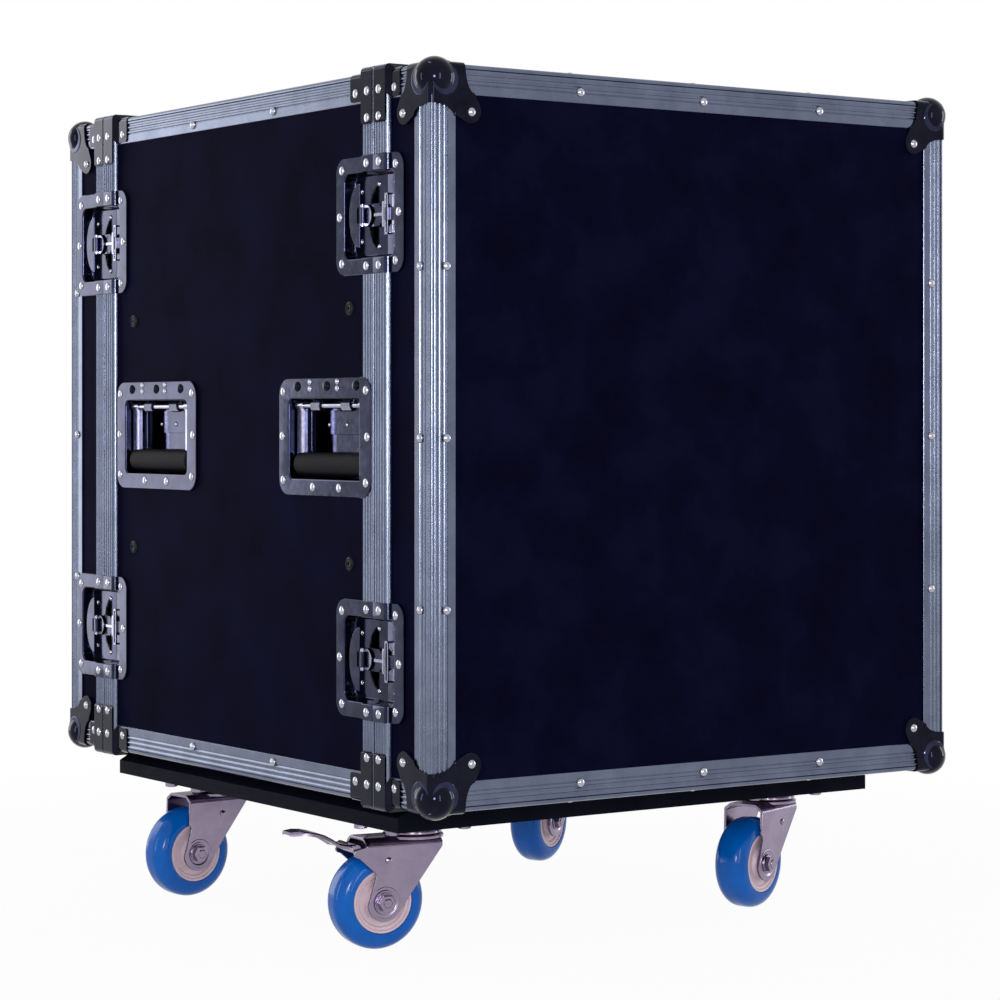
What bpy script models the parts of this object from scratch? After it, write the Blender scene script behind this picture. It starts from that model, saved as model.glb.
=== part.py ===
"""Rolling 12U rack flight case with two lift-off lids, recessed latches and handles, on four casters.

Metres, +Z up. The front lid faces -Y. The origin is on the floor, under the middle of the whole part.
"""
import bpy
import bmesh
from math import cos, sin, pi, radians
from mathutils import Matrix, Vector

# Rack rails
RACK_UNIT = 0.04445
RACK_UNITS = 12
RACK_HOLE_SPACING = 0.4651
RACK_HOLE_INSET = 0.00755  # from a hole's middle to the rail's inner edge
RAIL_WALL = 0.0025
RAIL_SIDE_LEG = 0.0365
RAIL_SETBACK = 0.0195
SQUARE_HOLE = 0.0095
HOLE_OFFSETS = (0.00635, 0.022225, 0.0381)
RAIL_NOTCH_MARGIN = 0.002

# Case body, measured over the aluminium edging. The rack inside sets its width and height
RACK_SIDE_ROOM = 0.0352    # from the rails' hole line to the case's side
RACK_END_ROOM = 0.0233     # from the rack's first and last unit to the case's top and bottom
CASE_WIDTH = RACK_HOLE_SPACING + 2 * RACK_SIDE_ROOM
CASE_DEPTH = 0.6226
CASE_HEIGHT = RACK_UNITS * RACK_UNIT + 2 * RACK_END_ROOM
LID_DEPTH = 0.077
PANEL = 0.009              # laminated plywood
EDGING = 0.00175           # how far the aluminium angle stands over the panels
GAP = 0.0003               # clearance between touching pieces

# Aluminium edge angle
ANGLE_LEG = 0.024
ARRIS_RADIUS = 0.0035
RIDGE_START = 0.0065
RIDGE_PITCH = 0.0063
RIDGE_COUNT = 2
GROOVE_DEPTH = 0.0006
LIP_WIDTH = 0.0055
STRIP_UNDER = 0.0004       # underside of the long corner angles over the panels

# Tongue and groove extrusions along the two seams
SEAM_PROUD = 0.00535       # height over the panel
SEAM_CREST = 0.0168        # width of the proud part
SEAM_FOOT = 0.0198         # width down at the panel
SEAM_LIP = 0.0015
SEAM_WEB = 0.0083          # solid part that caps the panel's edge
SEAM_INNER_LEG = 0.015
SEAM_INNER_WALL = 0.0012
SEAM_RIB_COUNT = 3
SEAM_RIB_PITCH = 0.0048
TONGUE_LOW = 0.0067        # the tongue lies between these depths under the panel's face
TONGUE_HIGH = 0.0033
TONGUE_LENGTH = 0.0053

# Pressed steel corner hardware
SHEET = 0.0015
SEATING = 0.0007           # riveted plates reach this far into the extrusion's grooves
BALL_RADIUS = 0.0163
BALL_INSET = 0.0105
CORNER_PLATE = 0.031
LUG_CENTRE = 0.036
LUG_RADIUS = 0.009
LUG_SWEEP = (-55, 145)     # degrees of the lug's round end
BRACKET_STEM_WIDTH = 0.018
BRACKET_STEM_LENGTH = 0.046
BRACKET_ARM_DROP = 0.023
BRACKET_ARM_BODY = 0.0396
BRACKET_ARM_LID = 0.034

# Recessed butterfly latches, two on each side of each lid
LATCH_RISE = 0.177         # above and below the case's middle
LATCH_HEIGHT = 0.0945
LATCH_TWIST_FLANGE = 0.0615
LATCH_KEEPER_FLANGE = 0.039
LATCH_CORNER = 0.012
LATCH_OPEN_HEIGHT = 0.068
LATCH_OPEN_TWIST = 0.0495
LATCH_OPEN_KEEPER = 0.025
LATCH_OPEN_CORNER = 0.007
DISH_WALL = 0.0007
FLANGE_TOP = 0.0024        # top of a dish flange over the panel
HUB_FROM_SEAM = 0.023
HUB_RADIUS = 0.009
SHANK_RADIUS = 0.0045
HUB_HEAD_LOW = -0.0025     # heights over the panel's face
HUB_HEAD_HIGH = -0.0010
EAR_HALF = 0.0085
EAR_WALL = 0.002
WING_AXIS = 0.0012
WING_BARREL = 0.0016
WING_THICKNESS = 0.0018
WING_HALF = 0.0255
WING_WIDTH = 0.019
WING_START = 0.0035
HOOK_TOP = -0.0035
HOOK_PLATE = 0.0015
HOOK_HALF = 0.009
HOOK_NECK_HALF = 0.005
HOOK_BAR_HALF = 0.014
HOOK_BAR = 0.004
HOOK_PULL = 0.003          # how far a half turn of the hub pulls the hook
HOOK_DIP = 0.002           # and draws it down behind the keeper's lip
HOOK_TAIL = 0.011
KEEPER_LIP = 0.003
KEEPER_NEAR = 0.010        # from the seam to the keeper's near face
KEEPER_HALF = 0.015
HOOK_OVER_KEEPER = 0.0005  # running clearances of the hook, up and down
HOOK_OVER_FLOOR = 0.001

# Sprung handles, two on each side
HANDLE_WIDTH = 0.1505
HANDLE_HEIGHT = 0.0965
HANDLE_CORNER = 0.014
HANDLE_OPEN_WIDTH = 0.116
HANDLE_OPEN_HEIGHT = 0.0655
HANDLE_OPEN_DROP = 0.0015
HANDLE_OPEN_CORNER = 0.006
HANDLE_HINGE_CORNER = 0.002  # sharper at the top, beside the hinge pin's ends
HANDLE_FLOOR = 0.020
HANDLE_FRONT_EDGE = 0.0025  # from the seam to the front handle's flange
HANDLE_REAR_EDGE = 0.0205
HINGE_DROP = 0.0055         # grip hinge below the opening's upper edge
HINGE_DEPTH = 0.006
HINGE_RADIUS = 0.0028
GRIP_LEG_WIDTH = 0.011
GRIP_LEG_THICKNESS = 0.004
GRIP_RADIUS = 0.0075
GRIP_DROP = 0.048           # grip bar below its hinge
GRIP_SIDE_GAP = 0.003

# Caster board, set in from the case's sides and ends
BOARD_SIDE = 0.02075
BOARD_FRONT = 0.0793
BOARD_REAR = 0.0613
BOARD_THICKNESS = 0.025
BOARD_EDGE = 0.012
BOARD_CHAMFER = 0.024

# Casters
CASTER_HEIGHT = 0.104
CASTER_FROM_SIDE = 0.07775  # from the case's side and end to the swivel
CASTER_FROM_END = 0.1463
CASTER_TRAIL = 0.034
WHEEL_RADIUS = 0.040
TYRE_WIDTH = 0.031
TYRE_ROUND = 0.012          # radius at the shoulders of the tread
CORE_RADIUS = 0.0265
CORE_RECESS = 0.0035
CORE_STEP = 0.001
WHEEL_HUB_RADIUS = 0.012
AXLE_RADIUS = 0.004
PLATE_LENGTH = 0.088
PLATE_WIDTH = 0.067
PLATE_THICKNESS = 0.003
RACE_RADIUS = 0.024
RACE_HEIGHT = 0.0065
CUP_RADIUS = 0.015
PLATE_CORNER = 0.006
FORK_SHEET = 0.0025
FORK_CLEARANCE = 0.0018
CROWN_RADIUS = 0.0255
CROWN_TOP = 0.0925
CHEEK_END_RADIUS = 0.0155
CHEEK_FRONT = 0.0182        # the cheeks' front edge before the swivel
CHEEK_SHOULDER = 0.008      # their straight front below the crown
CHEEK_BACK = 0.0078         # their back edge behind the axle
CHEEK_NECK = 0.022          # height over the axle where the back edge turns upright
BRAKE_ARM_START = (0.006, 0.032)  # on a braked fork, behind the back edge and over the axle
BRAKE_ARM_DROP = 0.007
BRAKE_ARM_TOP = 0.010
NUT_RADIUS = 0.0075
NUT_HEIGHT = 0.006
PEDAL_AXIS = 0.058
PEDAL_AXIS_HEIGHT = 0.0845
PEDAL_REACH = 0.113
PEDAL_TOP = 0.101
PEDAL_HALF = 0.014
PEDAL_SHEET = 0.0025
PEDAL_BARREL = 0.0035
PEDAL_CURVE = ((0.0, 0.0), (0.20, 0.06), (0.36, 0.42), (0.52, 0.72), (0.70, 0.92), (0.86, 1.0), (1.0, 0.98))

# Each caster stands turned about its swivel as it was left, degrees from +X
CASTERS = {
    "front_left": (-1, -1, 173.0, True),
    "rear_left": (-1, 1, 185.0, False),
    "front_right": (1, -1, 200.0, False),
    "rear_right": (1, 1, 208.0, True),
}

SIDE_X = CASE_WIDTH / 2 - EDGING
RISE_Z = CASE_HEIGHT / 2 - EDGING
FACE_Y = CASE_DEPTH / 2 - EDGING
SEAM_Y = CASE_DEPTH / 2 - LID_DEPTH
BASE_Z = CASTER_HEIGHT + BOARD_THICKNESS
MID_Z = BASE_Z + CASE_HEIGHT / 2
PANEL_END_Y = SEAM_Y - SEAM_WEB - GAP
FLANGE_HIGH = SEAM_PROUD + SHEET
KEEPER_TOP = HOOK_TOP - HOOK_PLATE - HOOK_OVER_KEEPER
LATCH_FLOOR = HOOK_PLATE - HOOK_TOP + HOOK_DIP + HOOK_OVER_FLOOR   # how deep a latch dish is
RACK_OPENING = RACK_HOLE_SPACING - 2 * RACK_HOLE_INSET
BOARD_WIDTH = CASE_WIDTH - 2 * BOARD_SIDE
CASTER_X = CASE_WIDTH / 2 - CASTER_FROM_SIDE
CASTER_Y = CASE_DEPTH / 2 - CASTER_FROM_END
PEDAL_REACH_X = CASTER_X - PEDAL_REACH * cos(radians(CASTERS["front_left"][2]))
BALL_REACH_X = CASE_WIDTH / 2 - BALL_INSET + BALL_RADIUS
CASE_X = (PEDAL_REACH_X - BALL_REACH_X) / 2   # brings the frame's origin under the middle of everything

ENDS = {"front": -1, "rear": 1}
SIDES = {"left": -1, "right": 1}
LEVELS = {"upper": 1, "lower": -1}


# Scene and object helpers

def material(name, colour, roughness, metallic):
    mat = bpy.data.materials.new(name)
    mat.use_nodes = True
    shader = mat.node_tree.nodes["Principled BSDF"]
    shader.inputs["Base Color"].default_value = (*colour, 1.0)
    shader.inputs["Roughness"].default_value = roughness
    shader.inputs["Metallic"].default_value = metallic
    return mat


def empty(name, location, parent=None):
    holder = bpy.data.objects.new(name, None)
    bpy.context.scene.collection.objects.link(holder)
    holder.parent = parent
    holder.location = location
    return holder


def add_object(name, bm, mat, parent, location=(0, 0, 0), turn=0.0, smooth=35):
    bmesh.ops.recalc_face_normals(bm, faces=bm.faces)
    mesh = bpy.data.meshes.new(name)
    bm.to_mesh(mesh)
    bm.free()
    mesh.materials.append(mat)
    mesh.shade_smooth()
    mesh.set_sharp_from_angle(angle=radians(smooth))
    obj = bpy.data.objects.new(name, mesh)
    bpy.context.scene.collection.objects.link(obj)
    obj.parent = parent
    obj.location = location
    obj.rotation_euler.z = turn
    return obj


# Modelling helpers: each returns a bmesh

def box(low, high):
    bm = bmesh.new()
    size = Vector(high) - Vector(low)
    centre = (Vector(high) + Vector(low)) / 2
    bmesh.ops.create_cube(bm, size=1.0, matrix=Matrix.Translation(centre) @ Matrix.Diagonal((*size, 1)))
    return bm


def prism(outline, place, span):
    """Extrude an outline of (u, v) points; place(u, v, w) puts each point in space at w = span[0], span[1]."""
    bm = bmesh.new()
    face = bm.faces.new([bm.verts.new(place(u, v, span[0])) for u, v in outline])
    grown = bmesh.ops.extrude_face_region(bm, geom=[face])
    moved = [v for v in grown["geom"] if isinstance(v, bmesh.types.BMVert)]
    shift = Vector(place(0, 0, span[1])) - Vector(place(0, 0, span[0]))
    bmesh.ops.translate(bm, verts=moved, vec=shift)
    bmesh.ops.recalc_face_normals(bm, faces=bm.faces)
    return bm


def cylinder(radius, low, high, steps=16):
    bm = bmesh.new()
    spot = Matrix.Translation((Vector(low) + Vector(high)) / 2)
    axis = Vector(high) - Vector(low)
    turn = Vector((0, 0, 1)).rotation_difference(axis).to_matrix().to_4x4()
    bmesh.ops.create_cone(bm, cap_ends=True, segments=steps, radius1=radius, radius2=radius,
                          depth=axis.length, matrix=spot @ turn)
    return bm


def bore(pin_radius, steps):
    """Corner radius of a faceted bore whose flats clear a turning pin."""
    return (pin_radius + GAP) / cos(pi / steps)


def arc(centre, radius, start, end, steps):
    """Points on an arc, angles in degrees."""
    points = []
    for i in range(steps + 1):
        angle = radians(start + (end - start) * i / steps)
        points.append((centre[0] + radius * cos(angle), centre[1] + radius * sin(angle)))
    return points


def rounded(u0, u1, v0, v1, radii, steps=2):
    """A rectangle with its own radius at each corner: (u0, v0), (u1, v0), (u1, v1), (u0, v1)."""
    corners = ((u0, v0, 1, 1, 180), (u1, v0, -1, 1, 270), (u1, v1, -1, -1, 0), (u0, v1, 1, -1, 90))
    points = []
    for (u, v, du, dv, start), radius in zip(corners, radii):
        if radius:
            points += arc((u + du * radius, v + dv * radius), radius, start, start + 90, steps)
        else:
            points.append((u, v))
    return points


def boolean(base, tools, operation, solver="EXACT"):
    """Join or cut bmeshes with Boolean modifiers, and return the result as one bmesh."""
    def scratch(bm):
        mesh = bpy.data.meshes.new("scratch")
        bmesh.ops.recalc_face_normals(bm, faces=bm.faces)
        bm.to_mesh(mesh)
        bm.free()
        obj = bpy.data.objects.new("scratch", mesh)
        bpy.context.scene.collection.objects.link(obj)
        return obj

    target = scratch(base)
    others = [scratch(tool) for tool in tools]
    for other in others:
        step = target.modifiers.new("boolean", "BOOLEAN")
        step.operation = operation
        step.solver = solver
        step.object = other
    bpy.context.view_layer.update()
    result = bmesh.new()
    result.from_mesh(target.evaluated_get(bpy.context.evaluated_depsgraph_get()).to_mesh())
    for obj in [target, *others]:
        bpy.data.objects.remove(obj)
    bmesh.ops.remove_doubles(result, verts=result.verts, dist=0.000002)
    bmesh.ops.dissolve_limit(result, angle_limit=radians(0.5), verts=result.verts, edges=result.edges)
    return result


def union(base, *tools):
    return boolean(base, tools, "UNION")


def cut(base, *tools):
    return boolean(base, tools, "DIFFERENCE")


def riveted(plates, spaces, prongs):
    """A frame of many plates that share planes: the exact solver leaves such a union open."""
    frame = boolean(plates[0], plates[1:], "UNION", "MANIFOLD")
    frame = boolean(frame, spaces, "DIFFERENCE", "MANIFOLD")
    return boolean(frame, prongs, "UNION", "MANIFOLD")


def mirrored(bm, side):
    """Turn a piece made for the right-hand side into the same piece for the left."""
    if side < 0:
        bmesh.ops.scale(bm, vec=(-1, 1, 1), verts=bm.verts)
        bmesh.ops.reverse_faces(bm, faces=bm.faces)
    return bm


# Aluminium sections, as (height over a side panel, height over the panel square to it)

def angle_leg(leg, under):
    """One leg's surface: distance in from the outer corner, height over the panel, down to its underside."""
    points = []
    for i in range(RIDGE_COUNT):
        start = RIDGE_START + i * RIDGE_PITCH
        points += [(start, EDGING), (start + RIDGE_PITCH / 4, EDGING - GROOVE_DEPTH),
                   (start + RIDGE_PITCH / 2, EDGING)]
    lip = leg - LIP_WIDTH
    return points + [(lip, EDGING), (lip, EDGING - GROOVE_DEPTH), (leg, EDGING - GROOVE_DEPTH), (leg, under)]


def angle_section(leg=ANGLE_LEG, under=GAP):
    first = [(EDGING - distance, height) for distance, height in reversed(angle_leg(leg, under))]
    second = [(height, EDGING - distance) for distance, height in angle_leg(leg, under)]
    centre = EDGING - ARRIS_RADIUS
    corner = arc((centre, centre), ARRIS_RADIUS, 90, 0, 3)
    return first + corner + second + [(under, under)]


def seam_section(tongue):
    """The extrusion along a seam, as (height over the panel, distance from the seam)."""
    face = GAP / 2
    points = [(SEAM_PROUD, face)]
    for i in range(SEAM_RIB_COUNT):
        start = (i + 0.5) * SEAM_RIB_PITCH
        points += [(SEAM_PROUD, start), (SEAM_PROUD - GROOVE_DEPTH, start + SEAM_RIB_PITCH / 4),
                   (SEAM_PROUD, start + SEAM_RIB_PITCH / 2)]
    inner = -PANEL - GAP
    points += [(SEAM_PROUD, SEAM_CREST), (SEAM_LIP, SEAM_CREST + SEAM_LIP), (SEAM_LIP, SEAM_FOOT),
               (GAP, SEAM_FOOT), (GAP, SEAM_WEB), (inner, SEAM_WEB), (inner, SEAM_INNER_LEG),
               (inner - SEAM_INNER_WALL, SEAM_INNER_LEG), (inner - SEAM_INNER_WALL, face)]
    if tongue:
        low, high, reach = -TONGUE_LOW, -TONGUE_HIGH, -TONGUE_LENGTH
    else:
        low, high, reach = -TONGUE_LOW - GAP, -TONGUE_HIGH + GAP, TONGUE_LENGTH + 2 * GAP
    return points + [(low, face), (low, reach), (high, reach), (high, face)]


def swept_ring(section, y_of):
    """Run a section round the case with mitred corners. y_of turns its second value into y."""
    bm = bmesh.new()
    loops = []
    for sx, sz in ((1, 1), (-1, 1), (-1, -1), (1, -1)):
        verts = [bm.verts.new((sx * (SIDE_X + h), y_of(v), MID_Z + sz * (RISE_Z + h))) for h, v in section]
        loops.append([bm.edges.new((verts[i - 1], verts[i])) for i in range(len(verts))])
    for i in range(4):
        bmesh.ops.bridge_loops(bm, edges=loops[i - 1] + loops[i])
    bmesh.ops.recalc_face_normals(bm, faces=bm.faces)
    return bm


def corner_strip(section, sx, sz, y0, y1):
    """Run a section straight along one of the four long corners of the case."""
    def place(u, v, w):
        return (sx * (SIDE_X + u), w, MID_Z + sz * (RISE_Z + v))
    return prism(section, place, (y0, y1))


# Pressed steel pieces

def bracket_bend(leg, base, sx, sz, y0, y1):
    """A folded plate over a long corner, its two legs standing on the given height."""
    low, high = base - SEATING, base + SHEET
    end = high - leg
    outline = [(end, high), (high, high), (high, end), (low, end), (low, low), (end, low)]
    return corner_strip(outline, sx, sz, y0, y1)


def seam_bracket(sx, sz, end, outwards, arm):
    """The folded bracket at a long corner, on one side of a seam. outwards is +1 or -1 along Y."""
    seam = end * SEAM_Y
    near = seam + outwards * GAP
    stem = seam + outwards * BRACKET_STEM_WIDTH
    step = seam + outwards * (BRACKET_STEM_WIDTH - 2 * SHEET)
    tip = seam + outwards * arm
    return [bracket_bend(BRACKET_STEM_LENGTH, SEAM_PROUD, sx, sz, near, stem),
            bracket_bend(BRACKET_ARM_DROP, EDGING, sx, sz, step, tip)]


def ball_corner(sx, end, sz):
    """A pressed corner of a lid: three folded plates, a riveted lug on each, and a ball over the point."""
    def corner_point(x, y, z):
        """A point given by its distances out from the case's three envelope planes."""
        return Vector((sx * (CASE_WIDTH / 2 + x), end * (CASE_DEPTH / 2 + y),
                       MID_Z + sz * (CASE_HEIGHT / 2 + z)))

    inner, outer = corner_point(*(-CORNER_PLATE,) * 3), corner_point(*(SHEET,) * 3)
    block = box([min(pair) for pair in zip(inner, outer)], [max(pair) for pair in zip(inner, outer)])
    folds = [e for e in block.edges if sum(outside(v.co, outer) == 3 for v in e.verts) == 1]
    bmesh.ops.bevel(block, geom=folds, offset=ARRIS_RADIUS + SHEET, offset_type="OFFSET", segments=2,
                    profile=0.5, affect="EDGES")
    ball = bmesh.new()
    bmesh.ops.create_uvsphere(ball, u_segments=12, v_segments=6, radius=BALL_RADIUS,
                              matrix=Matrix.Translation(corner_point(*(-BALL_INSET,) * 3)))
    lug = [(CORNER_PLATE / 2, CORNER_PLATE / 2), (CORNER_PLATE, CORNER_PLATE / 2),
           *arc((LUG_CENTRE, LUG_CENTRE), LUG_RADIUS, *LUG_SWEEP, 4), (CORNER_PLATE / 2, CORNER_PLATE)]
    lugs = [prism(lug, place, (-SEATING, SHEET)) for place in (lambda u, v, w: corner_point(w, -u, -v),
                                                               lambda u, v, w: corner_point(-u, w, -v),
                                                               lambda u, v, w: corner_point(-u, -v, w))]
    return [block, ball, *lugs]


def outside(point, corner):
    """How many of a point's coordinates are level with a corner's."""
    return sum(abs(a - b) < GAP for a, b in zip(point, corner))


# Dishes are made for the right-hand side, in (height over the side panel, y, z), then mirrored

def dish_place(level_z):
    def place(u, v, w):
        return (SIDE_X + w, u, level_z + v)
    return place


def latch_dish_half(side, end, level_z, twist):
    """Half of a recessed latch dish, cut open later by latch_opening."""
    seam = end * SEAM_Y
    way = 1 if twist else -1
    flange = LATCH_TWIST_FLANGE if twist else LATCH_KEEPER_FLANGE
    opening = LATCH_OPEN_TWIST if twist else LATCH_OPEN_KEEPER
    half = LATCH_HEIGHT / 2
    place = dish_place(level_z)

    def spread(near, far, height, corner, span):
        outline = rounded(near, far, -height, height, (0, corner, corner, 0))
        return prism([(seam + way * u, v) for u, v in outline], place, span)

    over_seam = spread(GAP, SEAM_CREST + SHEET, half, 0, (SEAM_PROUD - SEATING, FLANGE_HIGH))
    step = spread(SEAM_CREST, SEAM_CREST + SHEET, half, 0, (GAP, FLANGE_HIGH))
    on_panel = spread(SEAM_CREST, flange, half, LATCH_CORNER, (GAP, FLANGE_TOP))
    pan = spread(GAP, opening + DISH_WALL, LATCH_OPEN_HEIGHT / 2 + DISH_WALL, LATCH_OPEN_CORNER,
                 (-LATCH_FLOOR - DISH_WALL, FLANGE_TOP - SHEET / 4))
    return [mirrored(part, side) for part in (over_seam, step, on_panel, pan)]


def latch_opening(side, end, level_z, grow=0.0, floor=LATCH_FLOOR):
    """The space inside a latch dish, over both sides of its seam. grow widens it for a panel's cut-out."""
    seam = end * SEAM_Y
    height = LATCH_OPEN_HEIGHT / 2 + grow
    corner = LATCH_OPEN_CORNER
    outline = rounded(seam - LATCH_OPEN_KEEPER - grow, seam + LATCH_OPEN_TWIST + grow, -height, height,
                      (corner, corner, corner, corner))
    return mirrored(prism(outline, dish_place(level_z), (-floor, 2 * FLANGE_HIGH)), side)


def tongue_space(side, end, level_z):
    """Where a lid's tongue stops short of the body's half of a latch dish."""
    y0, y1 = sorted((end * (SEAM_Y + GAP / 2), end * (SEAM_Y - TONGUE_LENGTH - GAP)))
    half = LATCH_OPEN_HEIGHT / 2 + DISH_WALL + GAP
    return mirrored(box((SIDE_X - PANEL, y0, level_z - half), (SIDE_X, y1, level_z + half)), side)


def keeper(side, end, level_z):
    """The two-pronged lip in the keeper half that the hook's bar draws up behind."""
    near = end * SEAM_Y - KEEPER_NEAR
    low = -LATCH_FLOOR - DISH_WALL / 2
    prongs = []
    for way in (-1, 1):
        z0 = level_z + way * (HOOK_NECK_HALF + 2 * GAP)
        z1 = level_z + way * KEEPER_HALF
        prongs.append(mirrored(box((SIDE_X + low, near - KEEPER_LIP, min(z0, z1)),
                                   (SIDE_X + KEEPER_TOP, near, max(z0, z1))), side))
    return prongs


def latches_of(end):
    """Every side and level of the latches along one seam."""
    for side_name, side in SIDES.items():
        for level_name, level in LEVELS.items():
            yield f"{end}_{side_name}_{level_name}", side, MID_Z + level * LATCH_RISE


# Frames

def long_corners():
    return ((1, 1), (-1, 1), (-1, -1), (1, -1))


def make_body_frame(parent, mat):
    """Long corner angles, both seam extrusions, the seam brackets and the body's halves of the latches."""
    parts = [swept_ring(seam_section(False), lambda v, e=e: e * (SEAM_Y - v)) for e in ENDS.values()]
    angle_end = SEAM_Y - SEAM_CREST / 2
    strip = angle_section(ANGLE_LEG, STRIP_UNDER)
    parts += [corner_strip(strip, sx, sz, -angle_end, angle_end) for sx, sz in long_corners()]
    openings = []
    for end_name, end in ENDS.items():
        for sx, sz in long_corners():
            parts += seam_bracket(sx, sz, end, -end, BRACKET_ARM_BODY)
        for _, side, level_z in latches_of(end_name):
            parts += latch_dish_half(side, end, level_z, twist=end < 0)
            openings.append(latch_opening(side, end, level_z))
    prongs = [prong for _, side, level_z in latches_of("rear") for prong in keeper(side, 1, level_z)]
    return add_object("body_frame", riveted(parts, openings, prongs), mat, parent)


def make_lid_frame(end_name, parent, mat):
    """A lid's edge angles, seam extrusion, ball corners, brackets and its halves of the latches."""
    end = ENDS[end_name]
    parts = [swept_ring(angle_section(), lambda v: end * (FACE_Y + v)),
             swept_ring(seam_section(True), lambda v: end * (SEAM_Y + v))]
    groove = EDGING - GROOVE_DEPTH
    short = [(-ANGLE_LEG, groove), (groove, groove), (groove, -ANGLE_LEG), (STRIP_UNDER, -ANGLE_LEG),
             (STRIP_UNDER, STRIP_UNDER), (-ANGLE_LEG, STRIP_UNDER)]
    near, far = SEAM_Y + SEAM_CREST / 2, FACE_Y - ANGLE_LEG / 2
    for sx, sz in long_corners():
        parts.append(corner_strip(short, sx, sz, end * near, end * far))
        parts += seam_bracket(sx, sz, end, end, BRACKET_ARM_LID)
        parts += ball_corner(sx, end, sz)
    y0, y1 = sorted((end * (SEAM_Y + SEAM_FOOT), end * (FACE_Y + GAP)))
    half_width, half_height = SIDE_X + GAP, RISE_Z + GAP
    openings = [box((-half_width, y0, MID_Z - half_height), (half_width, y1, MID_Z + half_height))]
    for _, side, level_z in latches_of(end_name):
        parts += latch_dish_half(side, end, level_z, twist=end > 0)
        openings += [latch_opening(side, end, level_z), tongue_space(side, end, level_z)]
    keepers = latches_of(end_name) if end < 0 else ()
    prongs = [prong for _, side, level_z in keepers for prong in keeper(side, end, level_z)]
    return add_object(f"{end_name}_lid_frame", riveted(parts, openings, prongs), mat, parent)


# Panels

def make_body_panels(parent, mat):
    for name, way in (("top", 1), ("bottom", -1)):
        z = MID_Z + way * RISE_Z
        inner = z - way * PANEL
        slab = box((-SIDE_X, -PANEL_END_Y, min(z, inner)), (SIDE_X, PANEL_END_Y, max(z, inner)))
        add_object(f"body_{name}_panel", slab, mat, parent)
    height = RISE_Z - PANEL - GAP
    for side_name, side in SIDES.items():
        slab = mirrored(box((SIDE_X - PANEL, -PANEL_END_Y, MID_Z - height),
                            (SIDE_X, PANEL_END_Y, MID_Z + height)), side)
        holes = []
        for end_name, end in ENDS.items():
            for _, latch_side, level_z in latches_of(end_name):
                if latch_side == side:
                    holes.append(latch_opening(side, end, level_z, DISH_WALL + GAP, 2 * PANEL))
            holes.append(handle_opening(side, end, DISH_WALL + GAP, 2 * PANEL))
        add_object(f"body_{side_name}_panel", cut(slab, *holes), mat, parent)


def make_lid_panel(end_name, parent, mat):
    """The lid's plywood tray: its face and four sides, glued."""
    end = ENDS[end_name]
    seam_end = SEAM_Y + SEAM_WEB + GAP
    y0, y1 = sorted((end * seam_end, end * FACE_Y))
    tray = box((-SIDE_X, y0, MID_Z - RISE_Z), (SIDE_X, y1, MID_Z + RISE_Z))
    y0, y1 = sorted((end * (seam_end - PANEL), end * (FACE_Y - PANEL)))
    inside = box((PANEL - SIDE_X, y0, MID_Z - RISE_Z + PANEL), (SIDE_X - PANEL, y1, MID_Z + RISE_Z - PANEL))
    holes = [latch_opening(side, end, level_z, DISH_WALL + GAP, 2 * PANEL)
             for _, side, level_z in latches_of(end_name)]
    add_object(f"{end_name}_lid_panel", cut(tray, inside, *holes), mat, parent)


# Latch mechanism, each piece made round its own joint axis for the right-hand side

def latch_hub():
    """Shank, round head and two ears that hold the wing's barrel."""
    low = -LATCH_FLOOR + GAP
    shank = cylinder(SHANK_RADIUS, (low, 0, 0), (HUB_HEAD_LOW + GAP, 0, 0), 8)
    head = cylinder(HUB_RADIUS, (HUB_HEAD_LOW, 0, 0), (HUB_HEAD_HIGH, 0, 0), 12)
    ears = []
    for way in (-1, 1):
        z0, z1 = sorted((way * (EAR_HALF - EAR_WALL), way * EAR_HALF))
        ears.append(box((HUB_HEAD_HIGH - GAP, -WING_BARREL, z0), (WING_AXIS + WING_BARREL, WING_BARREL, z1)))
    return union(shank, head, *ears)


def latch_wing():
    """The folding wing: a barrel between the hub's ears and a rounded plate."""
    barrel_half = EAR_HALF - EAR_WALL - GAP
    barrel = cylinder(WING_BARREL, (0, 0, -barrel_half), (0, 0, barrel_half), 8)
    bulge = arc((WING_START, 0), 1.0, -90, 90, 10)
    outline = [(WING_START + (u - WING_START) * (WING_WIDTH - WING_START), v * WING_HALF) for u, v in bulge]

    def place(u, v, w):
        return (w, u, v)

    half = WING_THICKNESS / 2
    plate = prism(outline, place, (-half, half))
    tab = box((-half, 0, -barrel_half), (half, 2 * WING_START, barrel_half))
    return union(plate, tab, barrel)


def latch_hook():
    """The sliding T-shaped hook: a slotted plate round the shank, a neck and a cross bar."""
    tip = HUB_FROM_SEAM + KEEPER_NEAR + KEEPER_LIP + GAP + HOOK_PULL
    shoulder = -HUB_FROM_SEAM + HOOK_PULL
    outline = [(HOOK_TAIL, -HOOK_HALF), (HOOK_TAIL, HOOK_HALF), (shoulder, HOOK_HALF),
               (shoulder, HOOK_NECK_HALF), (-tip, HOOK_NECK_HALF), (-tip, HOOK_BAR_HALF),
               (-tip - HOOK_BAR, HOOK_BAR_HALF), (-tip - HOOK_BAR, -HOOK_BAR_HALF), (-tip, -HOOK_BAR_HALF),
               (-tip, -HOOK_NECK_HALF), (shoulder, -HOOK_NECK_HALF), (shoulder, -HOOK_HALF)]

    def place(u, v, w):
        return (w, u, v)

    plate = prism(outline, place, (HOOK_TOP - HOOK_PLATE, HOOK_TOP))
    radius = bore(SHANK_RADIUS, 8)
    slot = arc((0, 0), radius, -90, 90, 4) + arc((-HOOK_PULL, 0), radius, 90, 270, 4)
    return cut(plate, prism(slot, place, (2 * HOOK_TOP - HOOK_PLATE, 0)))


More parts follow.
